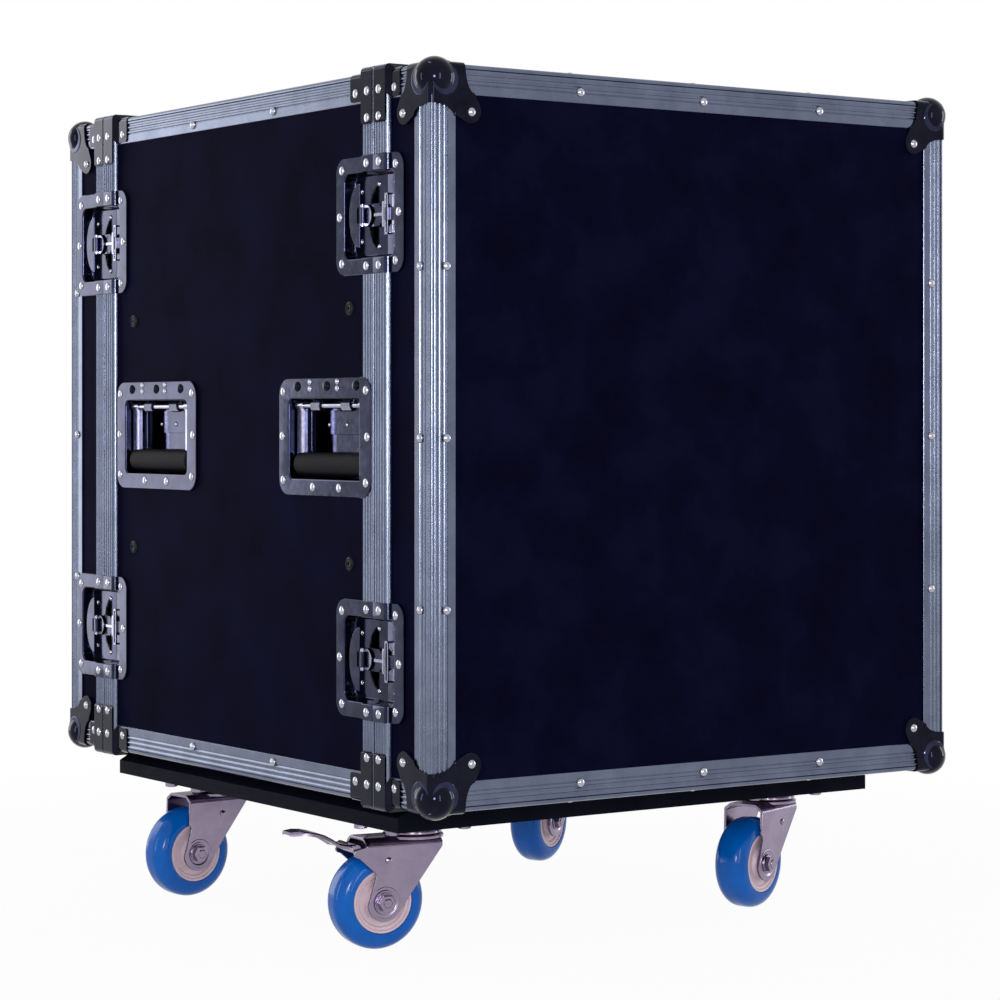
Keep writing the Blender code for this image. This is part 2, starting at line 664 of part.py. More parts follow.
def make_latches(end_name, holder, mats):
    seam = ENDS[end_name] * SEAM_Y
    for name, side, level_z in latches_of(end_name):
        spot = Vector((side * SIDE_X, seam + HUB_FROM_SEAM, level_z))
        hub = add_object(f"latch_hub_{name}", mirrored(latch_hub(), side), mats["steel"], holder, spot)
        add_object(f"latch_wing_{name}", mirrored(latch_wing(), side), mats["steel"], hub,
                   (side * WING_AXIS, 0, 0))
        add_object(f"latch_hook_{name}", mirrored(latch_hook(), side), mats["steel"], holder, spot)


# Handles

def handle_centre_y(end):
    """Distances from the seam differ: the front dish laps over its seam extrusion, the rear one doesn't."""
    edge = HANDLE_FRONT_EDGE if end < 0 else HANDLE_REAR_EDGE
    return end * (SEAM_Y - edge - HANDLE_WIDTH / 2)


def handle_opening(side, end, grow=0.0, floor=HANDLE_FLOOR):
    centre = handle_pan_y(end)
    width, height = HANDLE_OPEN_WIDTH / 2 + grow, HANDLE_OPEN_HEIGHT / 2 + grow
    corners = (HANDLE_OPEN_CORNER, HANDLE_OPEN_CORNER, HANDLE_HINGE_CORNER, HANDLE_HINGE_CORNER)
    outline = rounded(centre - width, centre + width, -height - HANDLE_OPEN_DROP, height - HANDLE_OPEN_DROP,
                      corners)
    return mirrored(prism(outline, dish_place(MID_Z), (-floor, 2 * FLANGE_HIGH)), side)


def handle_pan_y(end):
    """Middle of the pan. It clears the seam extrusion's foot."""
    clear = end * (SEAM_Y - SEAM_FOOT - DISH_WALL - 2 * GAP - HANDLE_OPEN_WIDTH / 2)
    return min((clear, handle_centre_y(end)), key=abs)


def make_handle(end_name, side_name, parent, mats):
    end, side = ENDS[end_name], SIDES[side_name]
    place = dish_place(MID_Z)
    half = HANDLE_HEIGHT / 2
    seam_side = handle_centre_y(end) + end * HANDLE_WIDTH / 2
    far_side = handle_centre_y(end) - end * HANDLE_WIDTH / 2
    laps = abs(seam_side) > SEAM_Y - SEAM_FOOT
    foot = end * (SEAM_Y - SEAM_FOOT - GAP)

    def spread(near, far, height, corners, span):
        """near is the edge towards the seam."""
        outline = rounded(0, abs(far - near), -height, height, corners)
        return prism([(near - end * u, v) for u, v in outline], place, span)

    c = HANDLE_CORNER
    if laps:
        over = spread(seam_side, foot - end * SHEET, half, (c, 0, 0, c),
                      (SEAM_PROUD + GAP, FLANGE_HIGH + GAP))
        step = spread(foot, foot - end * SHEET, half, (0, 0, 0, 0), (GAP, FLANGE_HIGH + GAP))
        low = spread(foot, far_side, half, (0, c, c, 0), (GAP, FLANGE_TOP))
        flange = [over, step, low]
    else:
        flange = [spread(seam_side, far_side, half, (c, c, c, c), (GAP, FLANGE_TOP))]
    pan_y, wall = handle_pan_y(end), DISH_WALL
    width, height = HANDLE_OPEN_WIDTH / 2 + wall, HANDLE_OPEN_HEIGHT / 2 + wall
    corners = (HANDLE_OPEN_CORNER, HANDLE_OPEN_CORNER, HANDLE_HINGE_CORNER, HANDLE_HINGE_CORNER)
    outline = rounded(pan_y - width, pan_y + width, -height - HANDLE_OPEN_DROP, height - HANDLE_OPEN_DROP,
                      corners)
    pan = prism(outline, place, (-HANDLE_FLOOR - wall, FLANGE_TOP - SHEET / 4))
    parts = [mirrored(part, side) for part in (*flange, pan)]
    dish = cut(union(parts[0], *parts[1:]), handle_opening(side, end))
    dish_object = add_object(f"handle_dish_{end_name}_{side_name}", dish, mats["steel"], parent)

    hinge_z = MID_Z + HANDLE_OPEN_HEIGHT / 2 - HANDLE_OPEN_DROP - HINGE_DROP
    reach = HANDLE_OPEN_WIDTH / 2 - GRIP_SIDE_GAP
    pin_half = HANDLE_OPEN_WIDTH / 2 - GAP
    pin = cylinder(HINGE_RADIUS, (0, -pin_half, 0), (0, pin_half, 0), 8)
    legs = []
    for way in (-1, 1):
        y0, y1 = sorted((way * reach, way * (reach - GRIP_LEG_WIDTH)))
        legs.append(box((-GRIP_LEG_THICKNESS / 2, y0, -GRIP_DROP), (GRIP_LEG_THICKNESS / 2, y1, 0)))
    grip_bar = cylinder(GRIP_RADIUS, (0, -reach, -GRIP_DROP), (0, reach, -GRIP_DROP), 10)
    grip = mirrored(union(pin, *legs, grip_bar), side)
    spot = (side * (SIDE_X - HINGE_DEPTH), pan_y, hinge_z)
    add_object(f"handle_grip_{end_name}_{side_name}", grip, mats["rubber"], dish_object, spot)


# Rack rails

def make_rail(end_name, side_name, parent, mat):
    """An L-shaped 12U rail: square holes in its face, its side leg notched round the handle's dish."""
    end, side = ENDS[end_name], SIDES[side_name]
    face = SEAM_Y - RAIL_SETBACK
    outer = SIDE_X - PANEL - GAP
    inner = RACK_OPENING / 2
    half = RACK_UNITS * RACK_UNIT / 2
    outline = [(inner, face), (outer, face), (outer, face - RAIL_SIDE_LEG),
               (outer - RAIL_WALL, face - RAIL_SIDE_LEG), (outer - RAIL_WALL, face - RAIL_WALL),
               (inner, face - RAIL_WALL)]

    def place(u, v, w):
        return (u, end * v, MID_Z + w)

    rail = mirrored(prism(outline, place, (-half, half)), side)
    tools = []
    for unit in range(RACK_UNITS):
        for offset in HOLE_OFFSETS:
            z = MID_Z - half + unit * RACK_UNIT + offset
            x = RACK_HOLE_SPACING / 2
            y0, y1 = sorted((end * (face + RAIL_WALL), end * (face - 2 * RAIL_WALL)))
            tools.append(mirrored(box((x - SQUARE_HOLE / 2, y0, z - SQUARE_HOLE / 2),
                                      (x + SQUARE_HOLE / 2, y1, z + SQUARE_HOLE / 2)), side))
    pan_half = HANDLE_OPEN_WIDTH / 2 + DISH_WALL + RAIL_NOTCH_MARGIN
    rise = HANDLE_OPEN_HEIGHT / 2 + DISH_WALL + RAIL_NOTCH_MARGIN
    y0, y1 = handle_pan_y(end) - pan_half, handle_pan_y(end) + pan_half
    reach = SIDE_X - HANDLE_FLOOR - DISH_WALL - RAIL_NOTCH_MARGIN
    notch = box((reach, y0, MID_Z - rise - HANDLE_OPEN_DROP), (SIDE_X, y1, MID_Z + rise - HANDLE_OPEN_DROP))
    tools.append(mirrored(notch, side))
    add_object(f"rack_rail_{end_name}_{side_name}", cut(rail, *tools), mat, parent)


# Caster board and casters

def make_board(parent, mat):
    """The board bolted under the bottom panel, planed down at a slant along its sides.

    It lies between the corner angles, and is rebated where the seams' extrusions cross it.
    """
    low, high = CASTER_HEIGHT, BASE_Z + EDGING - GAP
    half = BOARD_WIDTH / 2
    top_half = half - BOARD_CHAMFER
    edge = low + BOARD_EDGE
    outline = [(-half, low), (half, low), (half, edge), (top_half, BASE_Z), (top_half, high),
               (-top_half, high), (-top_half, BASE_Z), (-half, edge)]

    def place(u, v, w):
        return (u, w, v)

    board = prism(outline, place, (BOARD_FRONT - CASE_DEPTH / 2, CASE_DEPTH / 2 - BOARD_REAR))
    rebates = []
    for end in ENDS.values():
        y0, y1 = sorted((end * (SEAM_Y - SEAM_FOOT - GAP), end * CASE_DEPTH / 2))
        rebates.append(box((-half, y0, BASE_Z + EDGING - FLANGE_HIGH - GAP), (half, y1, BASE_Z + PANEL)))
    add_object("caster_board", cut(board, *rebates), mat, parent)


def wheel_mesh():
    """Tyre and core turned about the axle along local Y."""
    half = TYRE_WIDTH / 2
    tread = arc((WHEEL_RADIUS - TYRE_ROUND, half - TYRE_ROUND), TYRE_ROUND, 0, 80, 2)
    side = [(CORE_RADIUS, half), (CORE_RADIUS - CORE_STEP, half - CORE_RECESS),
            (WHEEL_HUB_RADIUS + CORE_STEP, half - CORE_RECESS),
            (WHEEL_HUB_RADIUS, half), (bore(AXLE_RADIUS, 16), half)]
    upper = tread + side
    outline = upper + [(r, -y) for r, y in reversed(upper)]
    bm = bmesh.new()
    verts = [bm.verts.new((r, y, 0)) for r, y in outline]
    edges = [bm.edges.new((verts[i - 1], verts[i])) for i in range(len(verts))]
    bmesh.ops.spin(bm, geom=verts + edges, cent=(0, 0, 0), axis=(0, 1, 0), angle=2 * pi, steps=16,
                   use_merge=True)
    bmesh.ops.remove_doubles(bm, verts=bm.verts, dist=0.000002)
    return bm


def cheek_outline(brake):
    """Side view of a fork's cheek, as (distance behind the swivel, height)."""
    lobe = arc((CASTER_TRAIL, WHEEL_RADIUS), CHEEK_END_RADIUS, 205, 350, 5)
    back = CASTER_TRAIL + CHEEK_BACK
    top = CROWN_TOP - FORK_SHEET / 2
    points = [(-CHEEK_FRONT, top), (-CHEEK_FRONT, top - CHEEK_SHOULDER), *lobe]
    points.append((back, WHEEL_RADIUS + CHEEK_NECK))
    if brake:
        start, rise = BRAKE_ARM_START
        arm = PEDAL_AXIS + PEDAL_BARREL
        points += [(back + start, WHEEL_RADIUS + rise), (arm, PEDAL_AXIS_HEIGHT - BRAKE_ARM_DROP),
                   (arm, PEDAL_AXIS_HEIGHT - PEDAL_BARREL - GAP), (back + BRAKE_ARM_TOP, top)]
    else:
        points.append((back, top))
    return points


def fork_mesh(brake):
    """Pressed fork with its crown, ball-race cup, two cheeks, axle and nuts. Local Z is the swivel."""
    def place(u, v, w):
        return (u, w, v)

    inner = TYRE_WIDTH / 2 + FORK_CLEARANCE
    outer = inner + FORK_SHEET
    cheeks = [prism(cheek_outline(brake), place, span) for span in ((inner, outer), (-outer, -inner))]
    low = CROWN_TOP - FORK_SHEET
    crown = cylinder(CROWN_RADIUS, (0, 0, low), (0, 0, CROWN_TOP), 14)
    back = CASTER_TRAIL + CHEEK_BACK
    bridge = box((-CHEEK_FRONT + GAP, -inner - SHEET, low), (back - GAP, inner + SHEET, CROWN_TOP))
    cup = cylinder(CUP_RADIUS, (0, 0, CROWN_TOP - SHEET), (0, 0, CROWN_TOP + RACE_HEIGHT / 2 - GAP), 10)
    axle = cylinder(AXLE_RADIUS, (CASTER_TRAIL, SHEET - outer, WHEEL_RADIUS),
                    (CASTER_TRAIL, outer - SHEET, WHEEL_RADIUS), 8)
    nuts = [cylinder(NUT_RADIUS, (CASTER_TRAIL, way * (outer - SHEET / 2), WHEEL_RADIUS),
                     (CASTER_TRAIL, way * (outer + NUT_HEIGHT), WHEEL_RADIUS), 6) for way in (-1, 1)]
    return union(crown, bridge, *cheeks, cup, axle, *nuts)


def caster_plate_mesh():
    """Top plate with the upper ball race under it."""
    top = CASTER_HEIGHT - GAP
    low = top - PLATE_THICKNESS
    outline = rounded(-PLATE_LENGTH / 2, PLATE_LENGTH / 2, -PLATE_WIDTH / 2, PLATE_WIDTH / 2,
                      (PLATE_CORNER,) * 4)

    def place(u, v, w):
        return (u, v, w)

    plate = prism(outline, place, (low, top))
    race = cylinder(RACE_RADIUS, (0, 0, CROWN_TOP + GAP), (0, 0, low + SHEET / 2), 14)
    pocket_top = CROWN_TOP + RACE_HEIGHT / 2
    pocket = cylinder(bore(CUP_RADIUS, 10), (0, 0, CROWN_TOP - SHEET), (0, 0, pocket_top), 10)
    return cut(union(plate, race), pocket)


def pedal_mesh():
    """Brake pedal: a barrel between the fork's arms and a dished tread that rises to its tip."""
    reach, rise = PEDAL_REACH - PEDAL_AXIS, PEDAL_TOP - PEDAL_AXIS_HEIGHT
    upper = [(reach * u, rise * v + PEDAL_BARREL * (1 - u)) for u, v in PEDAL_CURVE]
    lower = [(u - PEDAL_SHEET / 3, v - PEDAL_SHEET) for u, v in reversed(upper)]

    def place(u, v, w):
        return (u, w, v)

    half = TYRE_WIDTH / 2 + FORK_CLEARANCE - GAP
    tread = prism(upper + lower, place, (-PEDAL_HALF, PEDAL_HALF))
    barrel = cylinder(PEDAL_BARREL, (0, -half, 0), (0, half, 0), 8)
    return union(tread, barrel)


def make_caster(name, parent, mats):
    sx, end, heading, brake = CASTERS[name]
    spot = (sx * CASTER_X, end * CASTER_Y, 0)
    plate = add_object(f"caster_plate_{name}", caster_plate_mesh(), mats["zinc"], parent, spot)
    fork = add_object(f"caster_fork_{name}", fork_mesh(brake), mats["zinc"], plate, turn=radians(heading))
    add_object(f"caster_wheel_{name}", wheel_mesh(), mats["tyre"], fork, (CASTER_TRAIL, 0, WHEEL_RADIUS))
    if brake:
        add_object(f"brake_pedal_{name}", pedal_mesh(), mats["zinc"], fork, (PEDAL_AXIS, 0, PEDAL_AXIS_HEIGHT))


def main():
    for obj in list(bpy.data.objects):
        bpy.data.objects.remove(obj)
    mats = {
        "laminate": material("black_laminate", (0.012, 0.012, 0.018), 0.45, 0.0),
        "aluminium": material("anodised_aluminium", (0.55, 0.57, 0.60), 0.35, 1.0),
        "steel": material("chromed_steel", (0.60, 0.60, 0.62), 0.15, 1.0),
        "rubber": material("black_grip_rubber", (0.015, 0.015, 0.015), 0.8, 0.0),
        "rail": material("black_rail_steel", (0.03, 0.03, 0.03), 0.5, 0.6),
        "board": material("black_painted_board", (0.02, 0.02, 0.02), 0.7, 0.0),
        "zinc": material("zinc_plated_steel", (0.50, 0.50, 0.52), 0.3, 1.0),
        "tyre": material("blue_elastic_rubber", (0.004, 0.16, 0.62), 0.3, 0.0),
    }
    case = empty("case", (CASE_X, 0, 0))
    make_body_panels(case, mats["laminate"])
    make_body_frame(case, mats["aluminium"])
    holders = {"front": case, "rear": empty("rear_lid", (0, 0, 0), case)}
    for end_name in ENDS:
        lid = holders["rear"] if end_name == "rear" else empty("front_lid", (0, 0, 0), case)
        make_lid_panel(end_name, lid, mats["laminate"])
        make_lid_frame(end_name, lid, mats["aluminium"])
        make_latches(end_name, holders[end_name], mats)
        for side_name in SIDES:
            make_handle(end_name, side_name, case, mats)
            make_rail(end_name, side_name, case, mats["rail"])
    make_board(case, mats["board"])
    for name in CASTERS:
        make_caster(name, case, mats)


main()
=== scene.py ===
# Rack flight case on four casters: two lift-off lids, recessed latches and sprung handles.
# Everything is in metres, in the frame's own coordinates, and the front lid faces -Y.
from math import cos, pi, radians, sin, sqrt
import bmesh
import bpy
from mathutils import Matrix, Vector


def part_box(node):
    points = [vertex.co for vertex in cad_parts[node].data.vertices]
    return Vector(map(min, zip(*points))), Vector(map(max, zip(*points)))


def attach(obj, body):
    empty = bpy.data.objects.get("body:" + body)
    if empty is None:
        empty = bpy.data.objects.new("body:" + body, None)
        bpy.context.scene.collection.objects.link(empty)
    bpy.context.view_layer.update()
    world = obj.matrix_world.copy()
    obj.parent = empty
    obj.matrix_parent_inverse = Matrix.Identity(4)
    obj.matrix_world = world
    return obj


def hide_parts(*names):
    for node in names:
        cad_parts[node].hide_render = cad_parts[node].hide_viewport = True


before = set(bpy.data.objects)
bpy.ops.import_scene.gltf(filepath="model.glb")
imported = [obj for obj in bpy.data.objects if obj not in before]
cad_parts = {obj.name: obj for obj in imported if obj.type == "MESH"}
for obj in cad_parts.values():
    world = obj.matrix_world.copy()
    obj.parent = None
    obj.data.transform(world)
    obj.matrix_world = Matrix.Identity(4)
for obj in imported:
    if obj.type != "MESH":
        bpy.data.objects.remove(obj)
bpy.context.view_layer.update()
mm = 0.001
hair = 1e-7                 # coordinates closer than this are the same
weld = 0.001 * mm           # points closer than this are merged


def boxOf(node):
    return [Vector(corner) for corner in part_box(node)]


def inMetres(lengths):
    # a dictionary of lengths, or tuples of lengths, written in millimetres
    return {name: tuple(v * mm for v in value) if isinstance(value, tuple) else value * mm
            for name, value in lengths.items()}


def pointsInMm(pairs, at=(0, 0)):
    # points written in millimetres from a starting point
    return [(at[0] + u * mm, at[1] + v * mm) for u, v in pairs]


# Planes of the case, read from the frame's own panels
lidLow, lidHigh = boxOf("front_lid_panel")
rearLow, rearHigh = boxOf("rear_lid_panel")
caseX = (lidLow.x + lidHigh.x) / 2
sideX = (lidHigh.x - lidLow.x) / 2
midZ = (lidLow.z + lidHigh.z) / 2
riseZ = (lidHigh.z - lidLow.z) / 2
faceY = rearHigh.y
edging = 1.75 * mm          # how far the aluminium stands over the panels
gap = 0.3 * mm
panelIn = 8.3 * mm          # from a seam to the edges of its panels
seamY = rearLow.y - panelIn - gap
seamProud = 5.35 * mm
sheet = 1.5 * mm
lap = 0.8 * mm              # sheet lying over a seam extrusion
ends = {"front": -1, "rear": 1}
sides = {"left": -1, "right": 1}
levels = {"upper": 1, "lower": -1}
corners = ((1, 1), (-1, 1), (-1, -1), (1, -1))
latchRise = 177 * mm        # how far the latches stand over and under the case's middle


def latchesOf(end):
    # name, side and height of each latch along one seam
    for sideName, side in sides.items():
        for levelName, level in levels.items():
            yield f"{end}_{sideName}_{levelName}", side, midZ + level * latchRise


def onCorner(sx, sz, u, y, v):
    # a point by its heights over a side panel and over the top or bottom panel
    return (caseX + sx * (sideX + u), y, midZ + sz * (riseZ + v))


def onSide(side, high, y, z):
    # where a rivet stands over a side panel, and its normal
    return (caseX + side * (sideX + high), y, z), (side, 0, 0)


def onTop(level, high, x, y):
    # the same over the top or bottom panel
    return (x, y, midZ + level * (riseZ + high)), (0, 0, level)


def onFace(end, x, z):
    # the same on the edging of a lid's face
    return (x, end * (faceY + edging), z), (0, end, 0)


# Materials

def linear(hexText):
    # an sRGB hex colour as linear RGBA
    channels = [int(hexText[i:i + 2], 16) / 255 for i in (1, 3, 5)]
    return (*(c / 12.92 if c <= 0.04045 else ((c + 0.055) / 1.055) ** 2.4 for c in channels), 1.0)


def addNode(tree, kind, links=(), stops=(), **settings):
    # settings are attributes, or inputs where the name starts with in_; stops colour a ramp
    node = tree.nodes.new(kind)
    for name, value in settings.items():
        if name.startswith("in_"):
            node.inputs[name[3:].replace("_", " ")].default_value = value
        else:
            setattr(node, name, value)
    for i, (spot, colour) in enumerate(stops):
        element = node.color_ramp.elements[i]
        element.position = spot
        element.color = linear(colour)
    for source, socket in links:
        tree.links.new(source, node.inputs[socket])
    return node


def makeMaterial(name, look, **constants):
    # broad patches tint the colour, fine grain sets roughness and relief; patch, grain and depth are in
    # millimetres, and constants sit on the shader itself
    mat = bpy.data.materials.new(name)
    mat.use_nodes = True
    tree = mat.node_tree
    shader = tree.nodes["Principled BSDF"]
    for key, value in constants.items():
        shader.inputs[key.replace("_", " ")].default_value = value
    place = addNode(tree, "ShaderNodeTexCoord").outputs["Object"]
    spread = addNode(tree, "ShaderNodeMapping", [(place, "Vector")], in_Scale=look.get("stretch", (1, 1, 1)))
    broad = addNode(tree, "ShaderNodeTexNoise", [(spread.outputs["Vector"], "Vector")],
                    in_Scale=1 / (look["patch"] * mm), in_Detail=4.0, in_Roughness=0.6)
    fine = addNode(tree, "ShaderNodeTexNoise", [(spread.outputs["Vector"], "Vector")],
                   in_Scale=1 / (look["grain"] * mm), in_Detail=2.0, in_Roughness=0.6)
    tint = addNode(tree, "ShaderNodeValToRGB", [(broad.outputs["Fac"], "Fac")],
                   stops=((0.3, look["dark"]), (0.7, look["light"])))
    low, high = look["rough"]
    polish = addNode(tree, "ShaderNodeMapRange", [(fine.outputs["Fac"], "Value")], in_From_Min=0.3,
                     in_From_Max=0.7, in_To_Min=low, in_To_Max=high)
    relief = addNode(tree, "ShaderNodeBump", [(fine.outputs["Fac"], "Height")],
                     in_Distance=look["depth"] * mm)
    tree.links.new(tint.outputs["Color"], shader.inputs["Base Color"])
    tree.links.new(polish.outputs["Result"], shader.inputs["Roughness"])
    tree.links.new(relief.outputs["Normal"], shader.inputs["Normal"])
    return mat


# Phenolic film pressed on birch plywood: near black with a navy cast, a fine leathery emboss, a dull sheen
laminateLook = {"dark": "#070718", "light": "#0E0E28", "patch": 60, "grain": 1.6, "rough": (0.42, 0.58),
                "depth": 0.10}
laminate = makeMaterial("pressedPhenolicLaminate", laminateLook, IOR=1.5, Specular_IOR_Level=0.004)

# Extruded 6063, etched and anodised: satin grey-blue with a fine matt grain
aluminiumLook = {"dark": "#596073", "light": "#686F83", "patch": 25, "grain": 0.6, "rough": (0.18, 0.28),
                 "depth": 0.02}
aluminium = makeMaterial("extrudedAnodisedAluminium", aluminiumLook, Metallic=1.0)

# Deep drawn steel, nickel-chrome plated: its colour is darkened near black as a painted reflection of dark
# surroundings, with faint polishing waves
paintedDarkReflectionChromeLook = {"dark": "#14151F", "light": "#1F202D", "patch": 18, "grain": 9, "rough": (0.03, 0.08),
              "depth": 0.03}
chrome = makeMaterial("chromedDrawnSteelPaintedDarkReflection", paintedDarkReflectionChromeLook, Metallic=1.0)

# Pressed dish steel, chrome plated without polishing: a lighter copy of the dark chrome, its cooler grey a
# painted reflection of a brighter room, softly smeared
paintedReflectionDishLook = {"dark": "#242638", "light": "#343750", "patch": 18, "grain": 6, "rough": (0.06, 0.14),
            "depth": 0.03}
dishChrome = makeMaterial("chromedPressedDishSteelPaintedReflection", paintedReflectionDishLook, Metallic=1.0)

# Cold headed rivets, nickel plated: small mirror domes
rivetLook = {"dark": "#9A9AA6", "light": "#B0B0BC", "patch": 6, "grain": 2, "rough": (0.08, 0.14),
             "depth": 0.02}
rivetSteel = makeMaterial("nickelPlatedRivets", rivetLook, Metallic=1.0)

# Stamped latch and handle steel, bright chrome plated: white glints along stamped edges
brightLook = {"dark": "#86869A", "light": "#A2A2B4", "patch": 8, "grain": 3, "rough": (0.12, 0.22),
              "depth": 0.03}
brightSteel = makeMaterial("brightPlatedStampings", brightLook, Metallic=1.0)

# Moulded grip rubber: matt black with a fine sanded surface
gripLook = {"dark": "#07070C", "light": "#0E0E15", "patch": 10, "grain": 0.7, "rough": (0.45, 0.62),
            "depth": 0.05}
gripRubber = makeMaterial("mouldedGripRubber", gripLook, IOR=1.5, Specular_IOR_Level=0.05)

# Powder coated steel: satin black with a slight orange peel
railLook = {"dark": "#141417", "light": "#1E1E22", "patch": 30, "grain": 1.4, "rough": (0.34, 0.48),
            "depth": 0.04}
railPaint = makeMaterial("blackPowderCoatedSteel", railLook, IOR=1.5, Specular_IOR_Level=0.1)

# Plywood board rolled with black paint: a soft sheen over long faint wood fibres
boardLook = {"dark": "#090B15", "light": "#11131F", "patch": 40, "grain": 2.2, "rough": (0.42, 0.60),
             "depth": 0.12, "stretch": (1, 0.12, 1)}
boardPaint = makeMaterial("rolledBlackPaintOnPlywood", boardLook, IOR=1.5, Specular_IOR_Level=0.02)

# Pressed caster steel, zinc plated and clear passivated: warm mauve-grey with milky smears
zincLook = {"dark": "#83788E", "light": "#918699", "patch": 22, "grain": 2.5, "rough": (0.20, 0.26),
            "depth": 0.006}
zincSteel = makeMaterial("zincPlatedPressedSteel", zincLook, Metallic=1.0)

# Cast elastic polyurethane: glossy blue with a slightly waxy depth
tyreLook = {"dark": "#0054AC", "light": "#0060BE", "patch": 20, "grain": 3, "rough": (0.14, 0.20),
            "depth": 0.03}
tyreBlue = makeMaterial("castBluePolyurethane", tyreLook, IOR=1.5, Specular_IOR_Level=0.2)

# Moulded polypropylene wheel centre: pinkish beige, satin
coreLook = {"dark": "#CAB2BE", "light": "#D8C2CE", "patch": 12, "grain": 0.9, "rough": (0.36, 0.50),
            "depth": 0.02}
coreBeige = makeMaterial("mouldedPolypropyleneCore", coreLook, IOR=1.49)
print("materials made")


# Mesh helpers

def addObject(name, data):
    obj = bpy.data.objects.new(name, data)
    bpy.context.scene.collection.objects.link(obj)
    return obj


def meshFrom(name, bm, mat):
    mesh = bpy.data.meshes.new(name)
    bm.to_mesh(mesh)
    bm.free()
    mesh.materials.append(mat)
    return mesh


def newPiece(name, bm, mat, body, node=None, wall=0.0, edge=0.0, smooth=35, facing=None):
    # make bm an object riding on a body; wall thickens a sheet inwards, edge rounds its corners
    bmesh.ops.remove_doubles(bm, verts=bm.verts, dist=2 * weld)
    bmesh.ops.recalc_face_normals(bm, faces=bm.faces)
    if facing is not None:
        if sum(face.normal.dot(Vector(facing)) * face.calc_area() for face in bm.faces) < 0:
            bmesh.ops.reverse_faces(bm, faces=bm.faces)
    mesh = meshFrom(name, bm, mat)
    mesh.shade_smooth()
    mesh.set_sharp_from_angle(angle=radians(smooth))
    obj = addObject(name, mesh)
    if wall:
        thick = obj.modifiers.new("wall", "SOLIDIFY")
        thick.thickness = wall
        thick.offset = -1.0
        thick.use_even_offset = True
    if edge:
        soft = obj.modifiers.new("edge", "BEVEL")
        soft.width = edge
        soft.segments = 2
        soft.limit_method = "ANGLE"
        soft.angle_limit = radians(40)
    flat = obj.modifiers.new("flat", "WEIGHTED_NORMAL")  # keeps large faces flat between rounded edges
    flat.keep_sharp = True
    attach(obj, body)
    if node:
        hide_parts(node)


def join(*parts):
    # gather meshes into the first one
    base = parts[0]
    for part in parts[1:]:
        scratch = bpy.data.meshes.new("scratch")
        part.to_mesh(scratch)
        part.free()
        base.from_mesh(scratch)
        bpy.data.meshes.remove(scratch)
    return base


def alongX(u, v, w):
    return w, u, v


def alongY(u, v, w):
    return u, w, v


def alongZ(u, v, w):
    return u, v, w


def sweep(section, place, stations, closed=False):
    # copies of a section at each station, bridged; capped, unless closed joins the last to the first
    bm = bmesh.new()
    loops = []
    for station in stations:
        verts = [bm.verts.new(place(u, v, station)) for u, v in section]
        loops.append([bm.edges.new((verts[i - 1], verts[i])) for i in range(len(verts))])
    for i in range(0 if closed else 1, len(loops)):
        bmesh.ops.bridge_loops(bm, edges=loops[i - 1] + loops[i])
    if not closed:
        bmesh.ops.edgeloop_fill(bm, edges=loops[0])
        bmesh.ops.edgeloop_fill(bm, edges=loops[-1])
        bmesh.ops.recalc_face_normals(bm, faces=bm.faces)
    return bm


def arc(centre, radius, start, end, steps):
    # points on an arc, angles in degrees
    spots = [radians(start + (end - start) * i / steps) for i in range(steps + 1)]
    return [(centre[0] + radius * cos(a), centre[1] + radius * sin(a)) for a in spots]


def rectangle(u0, u1, v0, v1):
    return [(u0, v0), (u1, v0), (u1, v1), (u0, v1)]


def mirrored(low, high):
    # a span and its mirror image
    return (-high, -low), (low, high)


def plate(outline, place, low, high):
    # an outline thickened between two heights
    bm = bmesh.new()
    face = bm.faces.new([bm.verts.new(place(u, v, low)) for u, v in outline])
    grown = bmesh.ops.extrude_face_region(bm, geom=[face])
    moved = [v for v in grown["geom"] if isinstance(v, bmesh.types.BMVert)]
    bmesh.ops.translate(bm, verts=moved, vec=Vector(place(0, 0, high)) - Vector(place(0, 0, low)))
    bmesh.ops.recalc_face_normals(bm, faces=bm.faces)
    return bm


def turned(profile, steps, axis=(0, 0, 1), at=(0, 0, 0)):
    # spin a profile of (radius, height) points, then turn its axis and move it to its place
    bm = bmesh.new()
    verts = [bm.verts.new((r, 0, z)) for r, z in profile]
    edges = [bm.edges.new(pair) for pair in zip(verts, verts[1:])]
    bmesh.ops.spin(bm, geom=verts + edges, cent=(0, 0, 0), axis=(0, 0, 1), angle=2 * pi, steps=steps,
                   use_merge=True)
    bmesh.ops.remove_doubles(bm, verts=bm.verts, dist=weld)
    bmesh.ops.recalc_face_normals(bm, faces=bm.faces)
    turn = Vector((0, 0, 1)).rotation_difference(Vector(axis).normalized()).to_matrix().to_4x4()
    bmesh.ops.transform(bm, matrix=Matrix.Translation(at) @ turn, verts=bm.verts)
    return bm


def closeGap(bm):
    # bridge the two open rims of a turned piece
    bmesh.ops.bridge_loops(bm, edges=[edge for edge in bm.edges if edge.is_boundary])
    return bm


def roundEdges(bm, edges, size, steps=2):
    bmesh.ops.bevel(bm, geom=edges, offset=size, offset_type="OFFSET", segments=steps, profile=0.5,
                    affect="EDGES", material=-1)


def edgesAcross(bm, axis):
    # edges that lie in a plane across an axis
    return [e for e in bm.edges if abs(getattr(e.verts[0].co - e.verts[1].co, axis)) < hair]


def roundedLoop(bm, box, grow, radius, height, steps=6):
    # edges of a rounded rectangle, grown outwards, in (height, y, z)
    y0, y1, z0, z1 = box
    spots = rectangle(y0 - grow, y1 + grow, z0 - grow, z1 + grow)
    verts = [bm.verts.new((height, y, z)) for y, z in spots]
    bm.faces.new(verts)
    bmesh.ops.bevel(bm, geom=verts, offset=radius, offset_type="OFFSET", segments=steps, profile=0.5,
                    affect="VERTICES", material=-1)
    face = next(f for f in bm.faces if f.is_valid and all(abs(v.co.x - height) < hair for v in f.verts))
    edges = list(face.edges)
    bmesh.ops.delete(bm, geom=[face], context="FACES_ONLY")
    return edges


